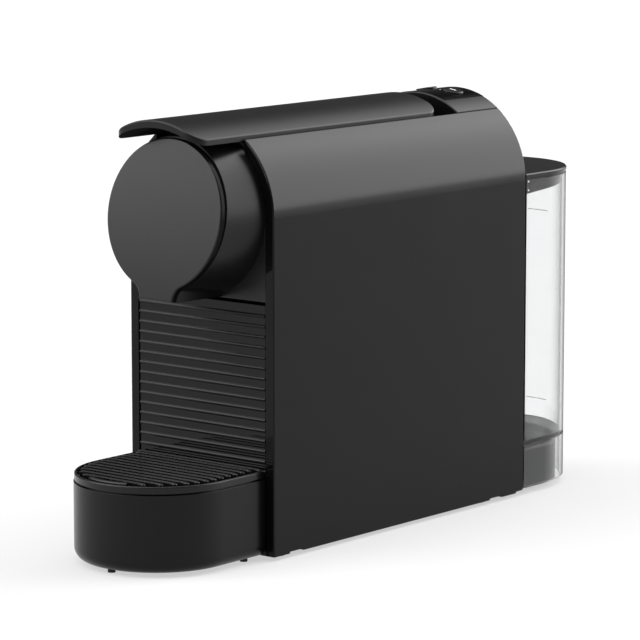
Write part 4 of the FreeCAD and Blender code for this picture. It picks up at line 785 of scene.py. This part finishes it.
def grille():
    """The drip grille: rim, locating lip, ledge, bars on cross tabs, back and front bars, lower ribs."""
    rim = grille_rim()
    others = [
        dee_ring("lip", LIP_HALF, LIP_BACK, LIP_WALL, GRILLE_LOW.z, LIP_TOP),
        dee_ring("ledge", LEDGE_HALF, LEDGE_BACK, LEDGE_WALL, LEDGE_LOW, LEDGE_TOP)]
    for i in range(BAR_COUNT):
        y = BAR_FIRST - i * BAR_PITCH
        ahead = max(ROUND_Y - y, 0.0)
        others.append(grille_bar(y, math.sqrt((RIM_INNER - BAR_END_GAP) ** 2 - ahead ** 2)))
        size = (2 * math.sqrt(RIM_INNER ** 2 - ahead ** 2) + TAB_INTO_RIM, TAB_WIDTH, TAB_HEIGHT)
        others.append(rounded_bar("tab", size, (0.0, y, TAB_Z), UNTURNED, TAB_EDGE))
    others.append(grille_bar(BACK_BAR_Y, BACK_BAR_HALF))
    others.append(front_bar())
    size = (RIB_WIDTH, LIP_BACK - RIB_FRONT, RIB_HEIGHT)
    for side in (-RIB_X, RIB_X):
        place = (side, (LIP_BACK + RIB_FRONT) / 2, LIP_TOP - RIB_HEIGHT / 2)
        others.append(rounded_bar("rib", size, place, UNTURNED, TAB_EDGE))
    unite(rim, others)
    bpy.ops.object.shade_smooth_by_angle(angle=SMOOTH_ANGLE)
    flats = rim.modifiers.new("flats", "WEIGHTED_NORMAL")
    flats.keep_sharp = True
    bpy.ops.object.modifier_apply(modifier=flats.name)
    dressed(rim, "grille", GRILLE_FINISH)
    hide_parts("drip_grille")


level_lines()
key_marks()
lamp()
grille()

FLOOR_RADIUS = 14.0
WALL_RADIUS = 13.8
WALL_HEIGHT = 12.0


def floor():
    """A wide pale floor that gives off light, so that shadows on it stay faint."""
    deselect()
    bpy.ops.mesh.primitive_circle_add(vertices=96, radius=FLOOR_RADIUS, fill_type="NGON")
    ground = bpy.context.object
    ground.name = "floor"
    finish = Finish("pale_floor", Specular_IOR_Level=0.1, Emission_Strength=0.55)
    tone = finish.noise(finish.place(), size=0.9, detail=2.0)
    finish.feed("Base Color", finish.blend(tone, grey(0.2), grey(0.21)))
    finish.feed("Emission Color", finish.blend(tone, grey(0.98), grey(1.0)))
    finish.gloss(tone, least=0.8, spread=0.1)
    ground.data.materials.append(finish.material)


def backdrop():
    """A white wall far round the floor, which only the camera sees."""
    deselect()
    bpy.ops.mesh.primitive_cylinder_add(
        vertices=96, radius=WALL_RADIUS, depth=WALL_HEIGHT, end_fill_type="NOTHING")
    wall = bpy.context.object
    wall.name = "backdrop"
    bpy.ops.object.transform_apply(location=True, rotation=True, scale=True)
    wall.visible_diffuse = False
    wall.visible_glossy = False
    wall.visible_transmission = False
    wall.visible_shadow = False
    paint = Finish("white_wall", Specular_IOR_Level=0.0, Emission_Strength=1.0)
    cloud = paint.noise(paint.place(), size=3.0, detail=2.0)
    paint.feed("Base Color", paint.blend(cloud, grey(0.02), grey(0.021)))
    paint.feed("Emission Color", paint.blend(cloud, grey(0.99), grey(1.0)))
    wall.data.materials.append(paint.material)


def softbox(name, place, aim, size, power):
    """A flat rectangular lamp that faces the aim."""
    light = bpy.data.lights.new(name, "AREA")
    light.shape = "RECTANGLE"
    light.size, light.size_y = size
    light.energy = power
    holder = bpy.data.objects.new(name, light)
    holder.location = place
    holder.rotation_euler = (Vector(aim) - Vector(place)).to_track_quat("-Z", "Y").to_euler()
    bpy.context.scene.collection.objects.link(holder)


AIR_GLOW = 0.08
RIGHT_GLOW = 6.2
FRONT_GLOW = 7.0
LEFT_GLOW = 1.6
TOP_GLOW = 2.2


def studio():
    """Soft light from behind on the right, in front, high on the left and above, darker elsewhere.

    Each light is a product of soft steps along the axes of the direction that a ray takes.
    """
    bpy.context.scene.view_settings.view_transform = "Standard"
    sky = bpy.data.worlds.new("studio_air")
    sky.use_nodes = True
    bpy.context.scene.world = sky
    air = NodeTree(sky.node_tree)
    way = air.node("ShaderNodeTexCoord", out="Generated")
    x, y, z = (air.along(axis, way) for axis in "XYZ")
    high = air.ease(z, 0.3, 0.5)
    low_right = air.ease(x, -0.4, 0.25) * (1.0 - high)
    high_right = air.ease(x, -0.46, 0.26) * high
    right = (low_right + high_right) * air.ease(y, 0.2, 0.65)
    front = air.ease(y, -0.1, -0.6) * air.ease(x, 0.4, -0.9) * air.ease(z, -0.02, 0.22)
    left = air.ease(x, -0.1, -0.55) * air.ease(y, 0.45, 0.1) * air.ease(z, 0.45, 0.75)
    top = air.ease(z, 0.7, 0.95)
    glow = AIR_GLOW + right * RIGHT_GLOW + front * FRONT_GLOW + left * LEFT_GLOW + top * TOP_GLOW
    background = sky.node_tree.nodes["Background"]
    sky.node_tree.links.new(glow.socket, background.inputs["Strength"])
    background.inputs["Color"].default_value = grey(1.0)
    softbox("top_softbox", place=(0.2, 0.0, 2.2), aim=(0.0, 0.0, 0.1), size=(2.0, 2.0), power=8.0)


CAMERA_AZIMUTH = math.radians(39.482)
CAMERA_ELEVATION = math.radians(8.971)
CAMERA_AIM = Vector((0.069693, -0.094113, 0.136842))
CAMERA_DISTANCE = 1.950
LENS_LENGTH = 196.5
SENSOR_WIDTH = 36.0


def camera():
    """The photograph's view: azimuth and elevation of the line of sight, and the lens."""
    back = Vector((
        math.sin(CAMERA_AZIMUTH) * math.cos(CAMERA_ELEVATION),
        -math.cos(CAMERA_AZIMUTH) * math.cos(CAMERA_ELEVATION),
        math.sin(CAMERA_ELEVATION)))
    lens = bpy.data.cameras.new("camera")
    lens.lens = LENS_LENGTH
    lens.sensor_width = SENSOR_WIDTH
    holder = bpy.data.objects.new("camera", lens)
    holder.location = CAMERA_AIM + CAMERA_DISTANCE * back
    holder.rotation_euler = (-back).to_track_quat("-Z", "Y").to_euler()
    bpy.context.scene.collection.objects.link(holder)
    bpy.context.scene.camera = holder


floor()
backdrop()
studio()
camera()
